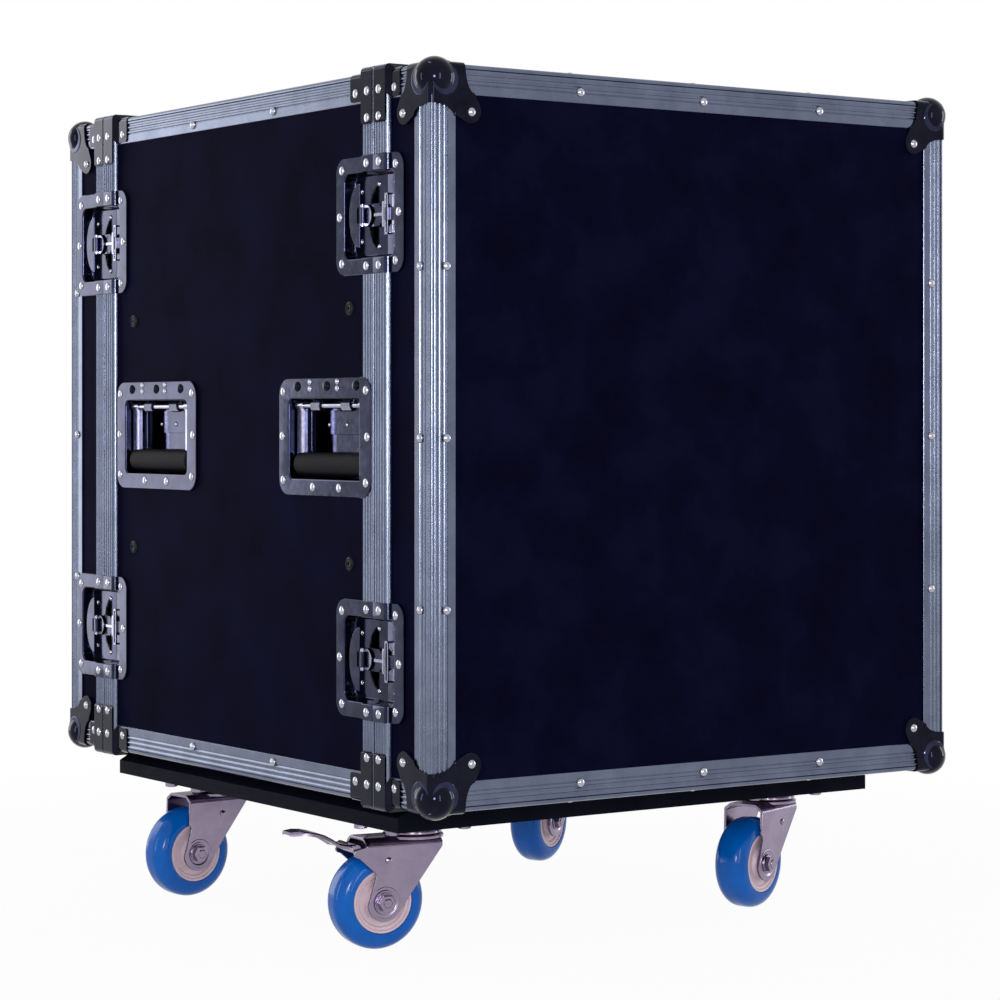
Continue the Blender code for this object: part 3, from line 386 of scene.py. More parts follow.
def toSide(bm, side):
    # move a piece made in (height over the side panel, y, z) out to one side of the case
    bmesh.ops.transform(bm, matrix=Matrix.Diagonal((side, 1, 1, 1)), verts=bm.verts)
    bmesh.ops.translate(bm, verts=bm.verts, vec=(caseX + side * sideX, 0, 0))
    if side < 0:
        bmesh.ops.reverse_faces(bm, faces=bm.faces)
    return bm


rivetHead = inMetres({"radius": 3.7, "rim": 0.4, "height": 2.3, "low": 1.36}) | {
    "steps": 14, "shoulder": 0.94, "angles": (20, 42, 66)}


def rivet(spot, normal, scale, dome):
    # a domed rivet head standing on a surface
    h = rivetHead
    r, rim, height = (h[key] * scale for key in ("radius", "rim", dome))
    profile = [(0, -rim), (r, -rim), (r, rim)]
    profile += [(r * h["shoulder"] * cos(radians(a)), rim + (height - rim) * sin(radians(a)))
                for a in h["angles"]]
    return turned(profile + [(0, height)], h["steps"], axis=normal, at=spot)


def rivets(name, spots, body, mat=rivetSteel, scale=1.0, dome="height"):
    # all rivets of one group as one piece; each spot is (point, normal)
    heads = join(*(rivet(spot, normal, scale, dome) for spot, normal in spots))
    newPiece(name, heads, mat, body, smooth=60)


# Aluminium extrusions

extrusion = inMetres({"leg": 23.6, "arris": 3.5, "beads": (5.2, 9.6, 14.0), "bead": 3.1, "groove": 0.9,
                      "lipStart": 16.0, "under": 0.4, "rim": 0.35})
seamBar = inMetres({"crest": 16.8, "lipHigh": 1.5, "shoulder": 1.7, "arris": 0.9, "foot": 19.8,
                    "innerLeg": 15, "innerWall": 1.2, "beads": (2.6, 6.6, 10.6, 14.4), "bead": 2.9,
                    "groove": 1.0, "rim": 0.4, "panel": 9, "tongueLow": 6.7, "tongueHigh": 3.3,
                    "tongue": 5.3})


def bead(middle, width, top, drop, steps=5):
    # a rounded ridge on an extrusion, as (distance, height)
    half = width / 2
    return [(middle - half + width * i / steps, top - drop + drop * sin(pi * i / steps))
            for i in range(steps + 1)]


def legPoints():
    # one leg of the corner angle, as (distance, height)
    e = extrusion
    rim = e["rim"]
    points = sum((bead(middle, e["bead"], edging, e["groove"]) for middle in e["beads"]), [])
    return points + [(e["lipStart"], edging - e["groove"]), (e["lipStart"] + rim, edging - rim),
                     (e["leg"] - rim, edging - rim), (e["leg"], edging - 2 * rim), (e["leg"], e["under"])]


def angleSection():
    # the corner angle as (height over one panel, height over the other)
    e = extrusion
    leg = legPoints()
    first = [(edging - distance, height) for distance, height in reversed(leg)]
    second = [(height, edging - distance) for distance, height in leg]
    middle = edging - e["arris"]
    return first + arc((middle, middle), e["arris"], 90, 0, 8) + second + [(e["under"], e["under"])]


def seamSection(tongue):
    # the tongue or groove extrusion, as (height over the panel, distance from the seam)
    s = seamBar
    face = gap / 2
    points = arc((seamProud - s["arris"], face + s["arris"]), s["arris"], -90, 0, 4)
    for middle in s["beads"]:
        ridge = bead(middle, s["bead"], seamProud, s["groove"])
        points += [(height, distance) for distance, height in ridge]
    inner = -s["panel"] - gap
    rim, shoulder, crest = s["rim"], s["shoulder"], s["crest"]
    points += [(seamProud - rim, crest - rim), (seamProud - rim - shoulder, crest - rim + shoulder),
               (s["lipHigh"], crest + shoulder), (s["lipHigh"], s["foot"]), (gap, s["foot"]),
               (gap, panelIn), (inner, panelIn), (inner, s["innerLeg"]),
               (inner - s["innerWall"], s["innerLeg"]), (inner - s["innerWall"], face)]
    slack = 0 if tongue else gap
    reach = -s["tongue"] if tongue else s["tongue"] + 2 * gap
    return points + [(-s["tongueLow"] - slack, face), (-s["tongueLow"] - slack, reach),
                     (-s["tongueHigh"] + slack, reach), (-s["tongueHigh"] + slack, face)]


def makeEdgeRing(end):
    # the mitred angle round a lid's face
    def place(u, v, station):
        return onCorner(*station, u, end * (faceY + v), u)

    return sweep(angleSection(), place, corners, closed=True)


def longBar(sx, sz, y0, y1):
    # a corner angle along one of the four long corners
    return sweep(angleSection(), lambda u, v, y: onCorner(sx, sz, u, y, v), (y0, y1))


def seamBars(end, way, tongue):
    # seam extrusions round the case on one side of a seam, open at the latches; way is +1 or -1 along Y
    section = seamSection(tongue)
    dishHalf = latch["openHigh"] / 2 + latch["wall"] / 2
    stops = ((-riseZ, -1), (-latchRise - dishHalf, 0), (-latchRise + dishHalf, 0),
             (latchRise - dishHalf, 0), (latchRise + dishHalf, 0), (riseZ, 1))
    bars = []
    for s in (-1, 1):
        def across(u, v, station):
            run, mitre = station
            return (caseX + run + mitre * u, end * seamY + way * v, midZ + s * (riseZ + u))

        def upright(u, v, station):
            run, mitre = station
            return (caseX + s * (sideX + u), end * seamY + way * v, midZ + run + mitre * u)

        bars.append(sweep(section, across, ((-sideX, -1), (sideX, 1))))
        bars += [sweep(section, upright, stops[i:i + 2]) for i in (0, 2, 4)]
    return join(*bars)


# Folded corner brackets, a pair at each seam

bracket = inMetres({"stem": 18, "stemLong": 46, "armDrop": 23, "armBody": 39.6, "armLid": 34, "fold": 4.5,
                    "corner": 3.0, "rim": 0.3, "seat": 0.7, "parting": 1.2, "step": 3.4, "rivetArm": 15.2,
                    "rivetStem": 36.5, "rivetNear": 8.6, "rivetEnd": 8.2})


def foldedPlate(leg, base, sx, sz, stations, roundAt):
    # a plate folded over a long corner; stations are (y, rise over the base), ends in roundAt are rounded
    b = bracket
    low, high = base - b["seat"], base + lap
    tip = high - leg
    middle = high - b["fold"]
    outline = [(tip, high)] + arc((middle, middle), b["fold"], 90, 0, 8) + [(high, tip), (low, tip)]
    outline += arc((middle, middle), b["fold"] - (high - low), 0, 90, 4) + [(tip, low)]

    def place(u, v, station):
        y, rise = station
        return onCorner(sx, sz, u + rise, y, v + rise)

    bm = sweep(outline, place, stations)
    spots = [Vector(place(u, v, (0, 0))).xz for u, v in ((tip, high), (tip, low), (high, tip), (low, tip))]
    picked = []
    for edge in bm.edges:
        if all(any(abs(v.co.y - y) < hair for y in roundAt) for v in edge.verts):
            if all(any((v.co.xz - spot).length < hair for spot in spots) for v in edge.verts):
                picked.append(edge)
    roundEdges(bm, picked, b["corner"], 5)
    return bm


def bracketPair(sx, sz, end, way, arm):
    # a stem along the seam, and a wide arm that steps down from it along the corner
    b = bracket
    near, edge, foot, far = (end * seamY + way * value for value in
                             (b["parting"], b["stem"], b["stem"] + b["step"], arm))
    stem = foldedPlate(b["stemLong"], seamProud, sx, sz, ((near, 0), (edge, 0)), (near, edge))
    rise = seamProud - edging
    arms = foldedPlate(b["armDrop"], edging, sx, sz, ((edge, rise), (foot, 0), (far, 0)), (far,))
    return join(stem, arms)


def bracketRivetSpots(sx, sz, end, way, arm):
    # three rivets in each leg of a bracket
    b = bracket
    spots = []
    for near, deep, base in ((b["rivetNear"], b["rivetArm"], seamProud),
                             (arm - b["rivetEnd"], b["rivetArm"], edging),
                             (b["rivetNear"], b["rivetStem"], seamProud)):
        y = end * seamY + way * near
        spots.append(onSide(sx, base + lap, y, midZ + sz * (riseZ - deep + edging)))
        spots.append(onTop(sz, base + lap, caseX + sx * (sideX - deep + edging), y))
    return spots


# Ball corners

ballCorner = inMetres({"radius": 16.3, "inset": 10.5, "wall": 1.2, "fold": 5.0, "start": 6, "archTop": 31.5,
                       "archFoot": 40.0, "archWide": 22.3, "lug": 36.3, "lugRadius": 9.6, "rivetIn": 37.1,
                       "padShift": 2.2})
ballPad = inMetres({"radius": 12.2, "high": 0.6, "slope": 0.5, "rim": 1.2})


def inside(corner, axis, depth, u, v):
    # a point by its distances in from the case's three envelope planes: depth along axis, u and v across
    distances = [u, v]
    distances.insert(axis, depth)
    sx, end, sz = corner
    a, b, d = distances
    return Vector((caseX + sx * (sideX + edging - a), end * (faceY + edging - b),
                   midZ + sz * (riseZ + edging - d)))


def outward(corner, axis):
    return [corner[i] if i == axis else 0 for i in range(3)]


def makeBallCorner(corner):
    # three riveted plates folded over the corner, a ball over its point, and a pad round it on each plate
    c = ballCorner
    flat = c["fold"] - sheet

    def arch(u):
        return c["archFoot"] - (c["archFoot"] - c["archTop"]) * sqrt(max(0.0, 1 - (u / c["archWide"]) ** 2))

    rise = [flat + (c["archWide"] - flat) * sin(radians(90 * i / 7)) for i in range(8)]
    outline = [(flat, flat), (flat, c["start"])] + [(u, arch(u) - arch(flat) + c["archTop"]) for u in rise]
    outline += arc((c["lug"], c["lug"]), c["lugRadius"], 112, -22, 10)
    outline += [(v, u) for u, v in reversed(outline[1:10])]
    shell = bmesh.new()
    for axis in range(3):
        shell.faces.new([shell.verts.new(inside(corner, axis, -sheet, u, v)) for u, v in outline])
    for axis in range(3):
        rims = []
        for run in (c["start"], c["archTop"]):
            verts = [shell.verts.new(inside(corner, axis, run, flat - c["fold"] * sin(radians(angle)),
                                            flat - c["fold"] * cos(radians(angle))))
                     for angle in range(0, 91, 15)]
            rims += [shell.edges.new(pair) for pair in zip(verts, verts[1:])]
        bmesh.ops.bridge_loops(shell, edges=rims)
    ball = bmesh.new()
    middle = inside(corner, 0, c["inset"], c["inset"], c["inset"])
    bmesh.ops.create_uvsphere(ball, u_segments=48, v_segments=24, radius=c["radius"],
                              matrix=Matrix.Translation(middle))
    p = ballPad
    top = sheet + p["high"]
    profile = [(0, 0), (p["radius"], 0), (p["radius"], sheet),
               (p["radius"] - p["slope"], sheet + p["slope"]), (p["radius"] - p["rim"], top), (0, top)]
    centre = c["inset"] + c["padShift"]
    pads = [turned(profile, 48, axis=outward(corner, axis), at=inside(corner, axis, 0.0, centre, centre))
            for axis in range(3)]
    return shell, ball, join(*pads)


def ballCornerRivetSpots(corner):
    at = ballCorner["rivetIn"]
    return [(inside(corner, axis, -sheet, at, at), outward(corner, axis)) for axis in range(3)]


# Latches

latch = inMetres({"near": 39, "far": 61.5, "high": 94.5, "corner": 12, "openNear": 25, "openFar": 49.5,
                  "openHigh": 68, "openCorner": 7, "wall": 0.9, "floor": 8.0, "draft": 1.4, "bend": 1.6,
                  "lip": 1.3, "least": 1.5, "flangeHigh": 2.4, "rim": 0.5, "slope": 1.6, "hubAt": 23})
latchRivets = {"twist": {"seam": ((9.6, 40.8), (9.6, -40.8)),
                         "panel": ((52.5, 37.5), (56, 0), (52.5, -37.5)),
                         "floor": ((12, 25), (38, 20), (38, -20), (12, -25))},
               "keeper": {"seam": ((-8.8, 40.8), (-8.8, -40.8)),
                          "panel": ((-27.5, 38), (-32.5, 0), (-27.5, -38)),
                          "floor": ((-12, 25), (-12, -25))},
               "floorScale": 0.6}


def dishRows(d):
    # (how far outside the opening, height) of each row from the flange's lip down to the floor
    angles = [radians(a) for a in (0, 30, 60, 90)]
    lip, bend = d["lip"], d["bend"]
    rows = [(lip * (1 - sin(a)), d["flangeHigh"] - lip * (1 - cos(a))) for a in angles]
    return rows + [(-d["draft"] - bend * (1 - cos(a)), -d["floor"] + bend * (1 - sin(a))) for a in angles]


def drawnDish(d, outer, opening, rises=()):
    # a drawn dish in (height, y, z): flange, rounded lip, sloping walls and floor
    bm = bmesh.new()
    high, rim = d["flangeHigh"], d["rim"]
    loops = [roundedLoop(bm, outer, 0, d["corner"], gap),
             roundedLoop(bm, outer, 0, d["corner"], high - rim),
             roundedLoop(bm, outer, -rim, d["corner"] - rim, high)]
    for grow, height in dishRows(d):
        loops.append(roundedLoop(bm, opening, grow, max(d["openCorner"] + grow, d["least"]), height))
    for near, far in zip(loops, loops[1:]):
        if near is loops[2]:  # the flat of the flange
            bmesh.ops.triangle_fill(bm, edges=near + far, use_beauty=True, normal=(1, 0, 0))
        else:
            bmesh.ops.bridge_loops(bm, edges=near + far)
    bmesh.ops.edgeloop_fill(bm, edges=loops[-1])
    bmesh.ops.recalc_face_normals(bm, faces=bm.faces)
    for y, _ in rises:
        cutAcross(bm, y)
    for vert in bm.verts:
        lift = liftAt(rises, vert.co.y) * (seamProud + lap - high)
        vert.co.x += lift * min(1.0, max(0.0, (vert.co.x + d["floor"]) / (high - d["lip"] + d["floor"])))
    return bm


def liftAt(rises, y):
    # how far a flange has risen at y, from 0 on the panel to 1 on the seam's extrusion
    if not rises:
        return 0.0
    if y <= rises[0][0]:
        return rises[0][1]
    for (ya, a), (yb, b) in zip(rises, rises[1:]):
        if y <= yb:
            return a + (b - a) * (y - ya) / (yb - ya)
    return rises[-1][1]


def cutAcross(bm, y, way=1, clear=False):
    # cut a sheet by a plane across Y; clear drops what lies behind the plane, seen along way
    bmesh.ops.bisect_plane(bm, geom=bm.verts[:] + bm.edges[:] + bm.faces[:], plane_co=(0, y, 0),
                           plane_no=(0, way, 0), clear_inner=clear, dist=hair)


def latchDishHalf(end, side, levelZ, half):
    # the dish over the seam, of which each body keeps its own half
    d = latch
    seam = end * seamY
    top, opening = d["high"] / 2, d["openHigh"] / 2
    crest, foot = seamBar["crest"], seamBar["crest"] + d["slope"]
    rises = ((seam - foot, 0.0), (seam - crest, 1.0), (seam + crest, 1.0), (seam + foot, 0.0))
    bm = drawnDish(d, (seam - d["near"], seam + d["far"], levelZ - top, levelZ + top),
                   (seam - d["openNear"], seam + d["openFar"], levelZ - opening, levelZ + opening), rises)
    way = 1 if half == "twist" else -1
    cutAcross(bm, seam + way * gap, way, clear=True)
    return toSide(bm, side)


def latchRivetSpots(end, side, levelZ, half, kinds):
    # rivets round one half of a dish, or the small heads that hold the works to its floor
    heights = {"seam": seamProud + lap, "panel": latch["flangeHigh"], "floor": -latch["floor"]}
    return [onSide(side, heights[kind], end * seamY + y * mm, levelZ + z * mm)
            for kind in kinds for y, z in latchRivets[half][kind]]


keeperParts = inMetres({"near": 10, "lip": 3, "inner": 5.6, "half": 15, "top": -5.5, "round": 0.8,
                        "foot": 0.9, "footLong": 2.4})
loopParts = inMetres({"near": 5.6, "far": 9.4, "wide": 1.1, "low": -3.1, "high": -1.9, "half": 16.4,
                      "post": 1.6, "round": 0.3})


def latchKeeper(end, side, levelZ):
    # two prongs folded up from a foot plate; the hook's bar draws up behind them
    d = keeperParts
    near = end * seamY - d["near"]
    back = near - d["lip"]
    low, top, r = -latch["floor"], d["top"], d["round"]
    profile = [(low, back)] + arc((top - r, back + r), r, -90, 0, 4)
    profile += arc((top - r, near - r), r, 0, 90, 4) + [(low, near)]
    prongs = [sweep(profile, alongZ, (levelZ + first, levelZ + last))
              for first, last in mirrored(d["inner"], d["half"])]
    foot = sweep(rectangle(low, low + d["foot"], back, near + d["footLong"]), alongZ,
                 (levelZ - d["half"], levelZ + d["half"]))
    return toSide(join(*prongs, foot), side)


def keeperLoop(end, side, levelZ):
    # a pressed frame over the hook's neck, standing on the keeper half beyond the reach of its bar
    d = loopParts
    seam = end * seamY
    high, r = d["high"], d["round"]
    bars = []
    for near in (seam - d["near"], seam - d["far"]):
        far = near + d["wide"]
        section = [(d["low"], near), (high - r, near), (high, near + r), (high, far - r), (high - r, far),
                   (d["low"], far)]
        bars.append(sweep(section, alongZ, (levelZ - d["half"], levelZ + d["half"])))
    post = rectangle(-latch["floor"], high, seam - d["far"], seam - d["near"] + d["wide"])
    bars += [sweep(post, alongZ, (levelZ + first, levelZ + last))
             for first, last in mirrored(d["half"] - d["post"], d["half"])]
    return toSide(join(*bars), side)


hub = inMetres({"shank": 4.5, "head": 9.0, "low": -2.5, "high": -1.0, "chamfer": 0.4, "earHalf": 8.5,
                "earWall": 2.0, "eye": 1.8, "axis": 1.2, "pin": 0.8, "pinHalf": 9.0})
wing = inMetres({"wide": 25.5, "reach": 19, "start": 3.5, "thick": 1.8, "rim": 0.5, "bore": 0.9,
                 "barrel": 1.6})
hook = inMetres({"top": -3.5, "plate": 1.5, "half": 9, "neck": 5, "barHalf": 14, "bar": 4, "pull": 3,
                 "tail": 11, "round": 2.5, "slant": 0.5, "fillet": 0.5, "rim": 0.3, "seat": 0.2, "rib": 2.4,
                 "ribStart": -11, "ribEnd": -25.5, "ribStem": 1.5, "ribHalf": 10, "ribWaist": 0.54,
                 "ribHigh": 0.9}) | {"ribCrown": 0.8}


def atLatch(bm, end, side, levelZ):
    # from the hub's own axis to its place on a side
    bmesh.ops.translate(bm, verts=bm.verts, vec=(0, end * seamY + latch["hubAt"], levelZ))
    return toSide(bm, side)


def makeLatchHub():
    # a headed shank on the dish's floor, with two ears and the wing's pin
    h = hub
    low, high, edge, start = h["low"], h["high"], h["chamfer"], -latch["floor"] + gap
    profile = [(0, start), (h["shank"], start), (h["shank"], low), (h["head"] - edge, low),
               (h["head"], low + edge), (h["head"], high - edge), (h["head"] - edge, high), (0, high)]
    foot = high - edge
    outline = [(h["eye"], foot)] + arc((0, h["axis"]), h["eye"], 0, 180, 8) + [(-h["eye"], foot)]
    ears = [sweep(outline, lambda u, v, w: (v, u, w), span)
            for span in mirrored(h["earHalf"] - h["earWall"], h["earHalf"])]
    pin = turned(rectangle(0, h["pin"], -h["pinHalf"], h["pinHalf"]), 16, at=(h["axis"], 0, 0))
    return join(turned(profile, 40, axis=(1, 0, 0)), *ears, pin)


def makeLatchWing():
    # a half-round folding wing with a pressed rim and a rolled barrel
    w = wing
    half = hub["earHalf"] - hub["earWall"] - gap
    level, thick, start = hub["axis"], w["thick"] / 2, w["start"]
    outline = [(start + (w["reach"] - start) * cos(radians(a)), w["wide"] * sin(radians(a)))
               for a in range(-90, 91, 9)]
    leaf = plate(outline, alongX, level - thick, level + thick)
    roundEdges(leaf, edgesAcross(leaf, "x"), w["rim"])
    tab = sweep(rectangle(level - thick, level + thick, 0, 2 * start), alongZ, (-half, half))
    barrel = closeGap(turned(rectangle(w["bore"], w["barrel"], -half, half), 20, at=(level, 0, 0)))
    return join(leaf, tab, barrel)


def makeLatchHook():
    # a flat plate with a neck and a bar that reaches past the keeper's prongs
    k = hook
    tip = latch["hubAt"] + keeperParts["near"] + keeperParts["lip"] + gap + k["pull"]
    shoulder = -latch["hubAt"] + k["pull"]
    r = k["round"]
    right = [(k["tail"], k["half"] - r), (k["tail"] - r, k["half"]), (shoulder + r, k["half"]),
             (shoulder, k["half"] - r), (shoulder - k["slant"], k["neck"] + r), (shoulder - r, k["neck"]),
             (-tip + k["fillet"], k["neck"]), (-tip, k["neck"] + k["fillet"]), (-tip, k["barHalf"]),
             (-tip - k["bar"], k["barHalf"])]
    outline = right + [(u, -v) for u, v in reversed(right)]
    bm = plate(outline, alongX, k["top"] - k["plate"], k["top"])
    roundEdges(bm, edgesAcross(bm, "x"), k["rim"])
    return bm


def makeHookRib():
    # a T pressed up from the hook's plate, its bar across the neck
    k = hook
    base, waist, crown = k["top"] - k["seat"], k["top"] + k["ribWaist"], k["top"] + k["ribHigh"]
    bars = []
    for start, end, half in ((k["ribEnd"] + k["rib"], k["ribStart"], k["ribStem"]),
                             (k["ribEnd"], k["ribEnd"] + k["rib"], k["ribHalf"])):
        narrow = half * k["ribCrown"]
        section = [(base, -half), (base, half), (waist, half), (crown, narrow), (crown, -narrow),
                   (waist, -half)]
        bars.append(sweep(section, alongY, (start, end)))
    return join(*bars)


# Handles

handle = inMetres({"wide": 150.5, "high": 96.5, "corner": 14, "openWide": 116, "openHigh": 65.5,
                   "openDrop": 1.5, "openCorner": 5, "wall": 0.9, "floor": 20, "draft": 1.0, "bend": 1.8,
                   "lip": 1.5, "least": 1.5, "flangeHigh": 2.4, "rim": 0.5, "slope": 1.6, "clear": 0.7,
                   "frontEdge": 2.5, "rearEdge": 20.5})
handleRivets = {"flange": ((68.5, 37.5), (70.0, 0.5), (68.5, -36.0), (-67.5, 37.5), (-69.5, 0.5),
                           (-67.5, -36.0), (20.5, -41.0), (-20.5, -41.0)),
                "hinge": ((45.5, 41.5), (-1.0, 41.5), (-46.5, 41.5)),
                "spring": ((25.0, 45.0), (25.0, 39.5), (-18.0, 45.0), (-18.0, 39.5)),
                "hingeScale": 1.15, "springScale": 0.7}


def panMiddle(end):
    # middles of the dish and of its pan, which clears the seam extrusion's foot
    d = handle
    edge = d["frontEdge"] if end < 0 else d["rearEdge"]
    centre = end * (seamY - edge - d["wide"] / 2)
    clear = end * (seamY - seamBar["foot"] - d["clear"] - 2 * gap - d["openWide"] / 2)
    return centre, min((clear, centre), key=abs)


def makeHandleDish(end, side):
    d = handle
    centre, pan = panMiddle(end)
    half, wide = d["openWide"] / 2, d["wide"] / 2
    foot = end * (seamY - seamBar["foot"] - gap)
    rises = ((foot, 1.0), (foot + d["slope"], 0.0)) if end < 0 else ()
    outer = (centre - wide, centre + wide, midZ - d["high"] / 2, midZ + d["high"] / 2)
    opening = (pan - half, pan + half, midZ - d["openHigh"] / 2 - d["openDrop"],
               midZ + d["openHigh"] / 2 - d["openDrop"])
    return toSide(drawnDish(d, outer, opening, rises), side)


def handleRivetSpots(end, side, kind):
    # round the flange, or in the row over the opening: single hinge rivets and pairs between them
    centre, _ = panMiddle(end)
    spots = []
    for u, v in handleRivets[kind]:
        y = centre + u * mm
        over = end < 0 and y < -(seamY - seamBar["foot"])
        spots.append(onSide(side, seamProud + lap if over else handle["flangeHigh"], y, midZ + v * mm))
    return spots


stopPlate = inMetres({"half": 46, "low": 2, "high": 22, "thick": 1.0, "rim": 0.3, "seat": 0.2, "rivet": 28,
                      "rivetUp": 10}) | {"rivetScale": 0.55}


def makeStopPlate(end, side):
    # the riveted plate on the dish's floor, behind the springs
    s = stopPlate
    _, pan = panMiddle(end)
    outline = rectangle(pan - s["half"], pan + s["half"], midZ + s["low"], midZ + s["high"])
    floor = -handle["floor"]
    return toSide(plate(outline, alongX, floor - s["seat"], floor + s["thick"]), side)


def stopPlateSpots(end, side):
    s = stopPlate
    _, pan = panMiddle(end)
    return [onSide(side, s["thick"] - handle["floor"], pan + way * s["rivet"], midZ + s["rivetUp"])
            for way in (-1, 0, 1)]


grip = inMetres({"drop": 5.5, "depth": 6, "pin": 2.6, "eye": 4.2, "legWide": 11, "legThick": 4,
                 "legTop": 3.9, "rim": 0.5, "barRound": 5, "reach": 48, "sideGap": 3, "barDeep": 7.2,
                 "barHigh": 7.35})
gripEnd = {"angles": (0, 20, 40, 60, 75, 90), "least": 0.55, "oval": 1.32}
coil = inMetres({"wire": 0.9, "radius": 3.9, "pitch": 2.3, "at": 24.36}) | {"turns": 6, "steps": 14}


def gripPlace(bm, end, side):
    # from the hinge pin's own axis to its place in a dish
    _, pan = panMiddle(end)
    high = midZ + handle["openHigh"] / 2 - handle["openDrop"] - grip["drop"]
    bmesh.ops.translate(bm, verts=bm.verts, vec=(-grip["depth"], pan, high))
    return toSide(bm, side)


def makeGripSteel():
    # the hinge pin, and two flat legs with eyes
    g = grip
    half = handle["openWide"] / 2
    reach = half - g["sideGap"]
    pin = turned(rectangle(0, g["pin"], -half + gap, half - gap), 20, axis=(0, 1, 0))
    thick = g["legThick"] / 2
    outline = arc((0, 0), g["eye"], 0, 180, 10) + [(-thick, -g["legTop"]), (-thick, -g["reach"]),
                                                   (thick, -g["reach"]), (thick, -g["legTop"])]
    legs = [sweep(outline, alongY, span) for span in mirrored(reach - g["legWide"], reach)]
    return join(pin, *legs)


def makeGripBar():
    # a moulded oval bar that narrows to rounded ends
    g = grip
    reach = handle["openWide"] / 2 - g["sideGap"]
    oval = [(cos(radians(a)), gripEnd["oval"] * sin(radians(a))) for a in range(0, 360, 12)]
    r, least = g["barRound"], gripEnd["least"]
    half = [(reach - r + r * sin(radians(a)), least + (1 - least) * cos(radians(a)))
            for a in gripEnd["angles"]]
    stations = [(-y, swell) for y, swell in reversed(half)] + half

    def place(u, v, station):
        y, swell = station
        return (u * g["barDeep"] * swell, y, -g["reach"] + v * g["barHigh"] * swell)

    return sweep(oval, place, stations)


def makeCoils():
    # two plain coil springs round the hinge pin
    c = coil
    wire = [(c["wire"] * cos(2 * pi * i / 5), c["wire"] * sin(2 * pi * i / 5)) for i in range(5)]

    def place(u, v, station):
        angle, run = station
        return ((c["radius"] + u) * sin(angle), run + v, (c["radius"] + u) * cos(angle))

    turns = [i / c["steps"] for i in range(c["turns"] * c["steps"] + 1)]
    springs = []
    for way in (-1, 1):
        stations = [(2 * pi * t, way * (c["at"] + (t - c["turns"] / 2) * c["pitch"])) for t in turns]
        springs.append(sweep(wire, place, stations))
    return join(*springs)


# Rivet rows on the edge angles, and the rack rails' bolts

edgeRivets = inMetres({"in": 15, "lidRise": 133, "lidRun": 125, "bodyRun": 70, "bodyIn": 17.5})
railBolts = inMetres({"y": (-190.5, 184), "rise": 102.5, "down": 2})
boltInCup = ((0, 0.1), (1.2, 0.1), (1.5, 1.4), (2.6, 1.6), (3.6, 1.1), (4.2, 1.6), (5.4, 1.1), (5.8, 0))


def lidEdgeRivetSpots(end):
    e = edgeRivets
    deep = e["in"] - edging
    spots = []
    for s in (-1, 1):
        for z in (-e["lidRise"], 0, e["lidRise"]):
            spots.append(onFace(end, caseX + s * (sideX - deep), midZ + z))
            spots.append(onSide(s, edging, end * (faceY - deep), midZ + z))
        for x in (-e["lidRun"], 0, e["lidRun"]):
            spots.append(onFace(end, caseX + x, midZ + s * (riseZ - deep)))
            spots.append(onTop(s, edging, caseX + x, end * (faceY - deep)))
    return spots


def bodyEdgeRivetSpots():
    e = edgeRivets
    deep = e["bodyIn"] - edging
    spots = []
    for sx, sz in corners:
        for y in (-e["bodyRun"], e["bodyRun"]):
            spots.append(onSide(sx, edging, y, midZ + sz * (riseZ - deep)))
            spots.append(onTop(sz, edging, caseX + sx * (sideX - deep), y))
    return spots


def makeRailBolts():
    # countersunk bolts through the side panels into the rack rails, each in a cup washer
    b = railBolts
    spots = [onSide(side, 0, y, midZ + s * b["rise"] + b["down"] / 2)
             for side in sides.values() for y in b["y"] for s in (-1, 1)]
    return join(*(turned(pointsInMm(boltInCup), 24, axis=normal, at=spot) for spot, normal in spots))


# Edge, seam and corner pieces of the case and its two lids

bodyBar = seamY - seamBar["foot"] - gap
caseBars = [longBar(sx, sz, -bodyBar, bodyBar) for sx, sz in corners]
caseBars += [seamBars(-1, 1, False), seamBars(1, -1, False)]
newPiece("body_edging", join(*caseBars), aluminium, "case", "body_frame")
rivets("body_edge_rivets", bodyEdgeRivetSpots(), "case")
newPiece("rail_bolts", makeRailBolts(), railPaint, "case")

for endName, end in ends.items():
    lid = f"{endName}_lid"
    lidBar = sorted((end * (seamY + seamBar["foot"] + gap), end * (faceY + edging - extrusion["leg"] - gap)))
    lidBars = [longBar(sx, sz, *lidBar) for sx, sz in corners]
    lidBars += [makeEdgeRing(end), seamBars(end, end, True)]
    newPiece(f"{lid}_edging", join(*lidBars), aluminium, lid, f"{lid}_frame")
    rivets(f"{lid}_edge_rivets", lidEdgeRivetSpots(end), lid)
    shells, balls, pads = zip(*(makeBallCorner((sx, end, sz)) for sx, sz in corners))
    newPiece(f"{lid}_corner_plates", join(*shells), chrome, lid, wall=ballCorner["wall"])
    newPiece(f"{lid}_corner_balls", join(*balls), chrome, lid)
    newPiece(f"{lid}_corner_pads", join(*pads), dishChrome, lid)
    ballSpots = sum((ballCornerRivetSpots((sx, end, sz)) for sx, sz in corners), [])
    rivets(f"{lid}_corner_rivets", ballSpots, lid)
    for body, way, arm in (("case", -end, bracket["armBody"]), (lid, end, bracket["armLid"])):
        pairs = [bracketPair(sx, sz, end, way, arm) for sx, sz in corners]
        newPiece(f"{body}_{endName}_brackets", join(*pairs), chrome, body, edge=bracket["rim"])
        spots = sum((bracketRivetSpots(sx, sz, end, way, arm) for sx, sz in corners), [])
        rivets(f"{body}_{endName}_bracket_rivets", spots, body, dome="low")
print("edging and corners made")


# Latches in their places: the works ride on the case at the front seam, and on the lid at the rear one

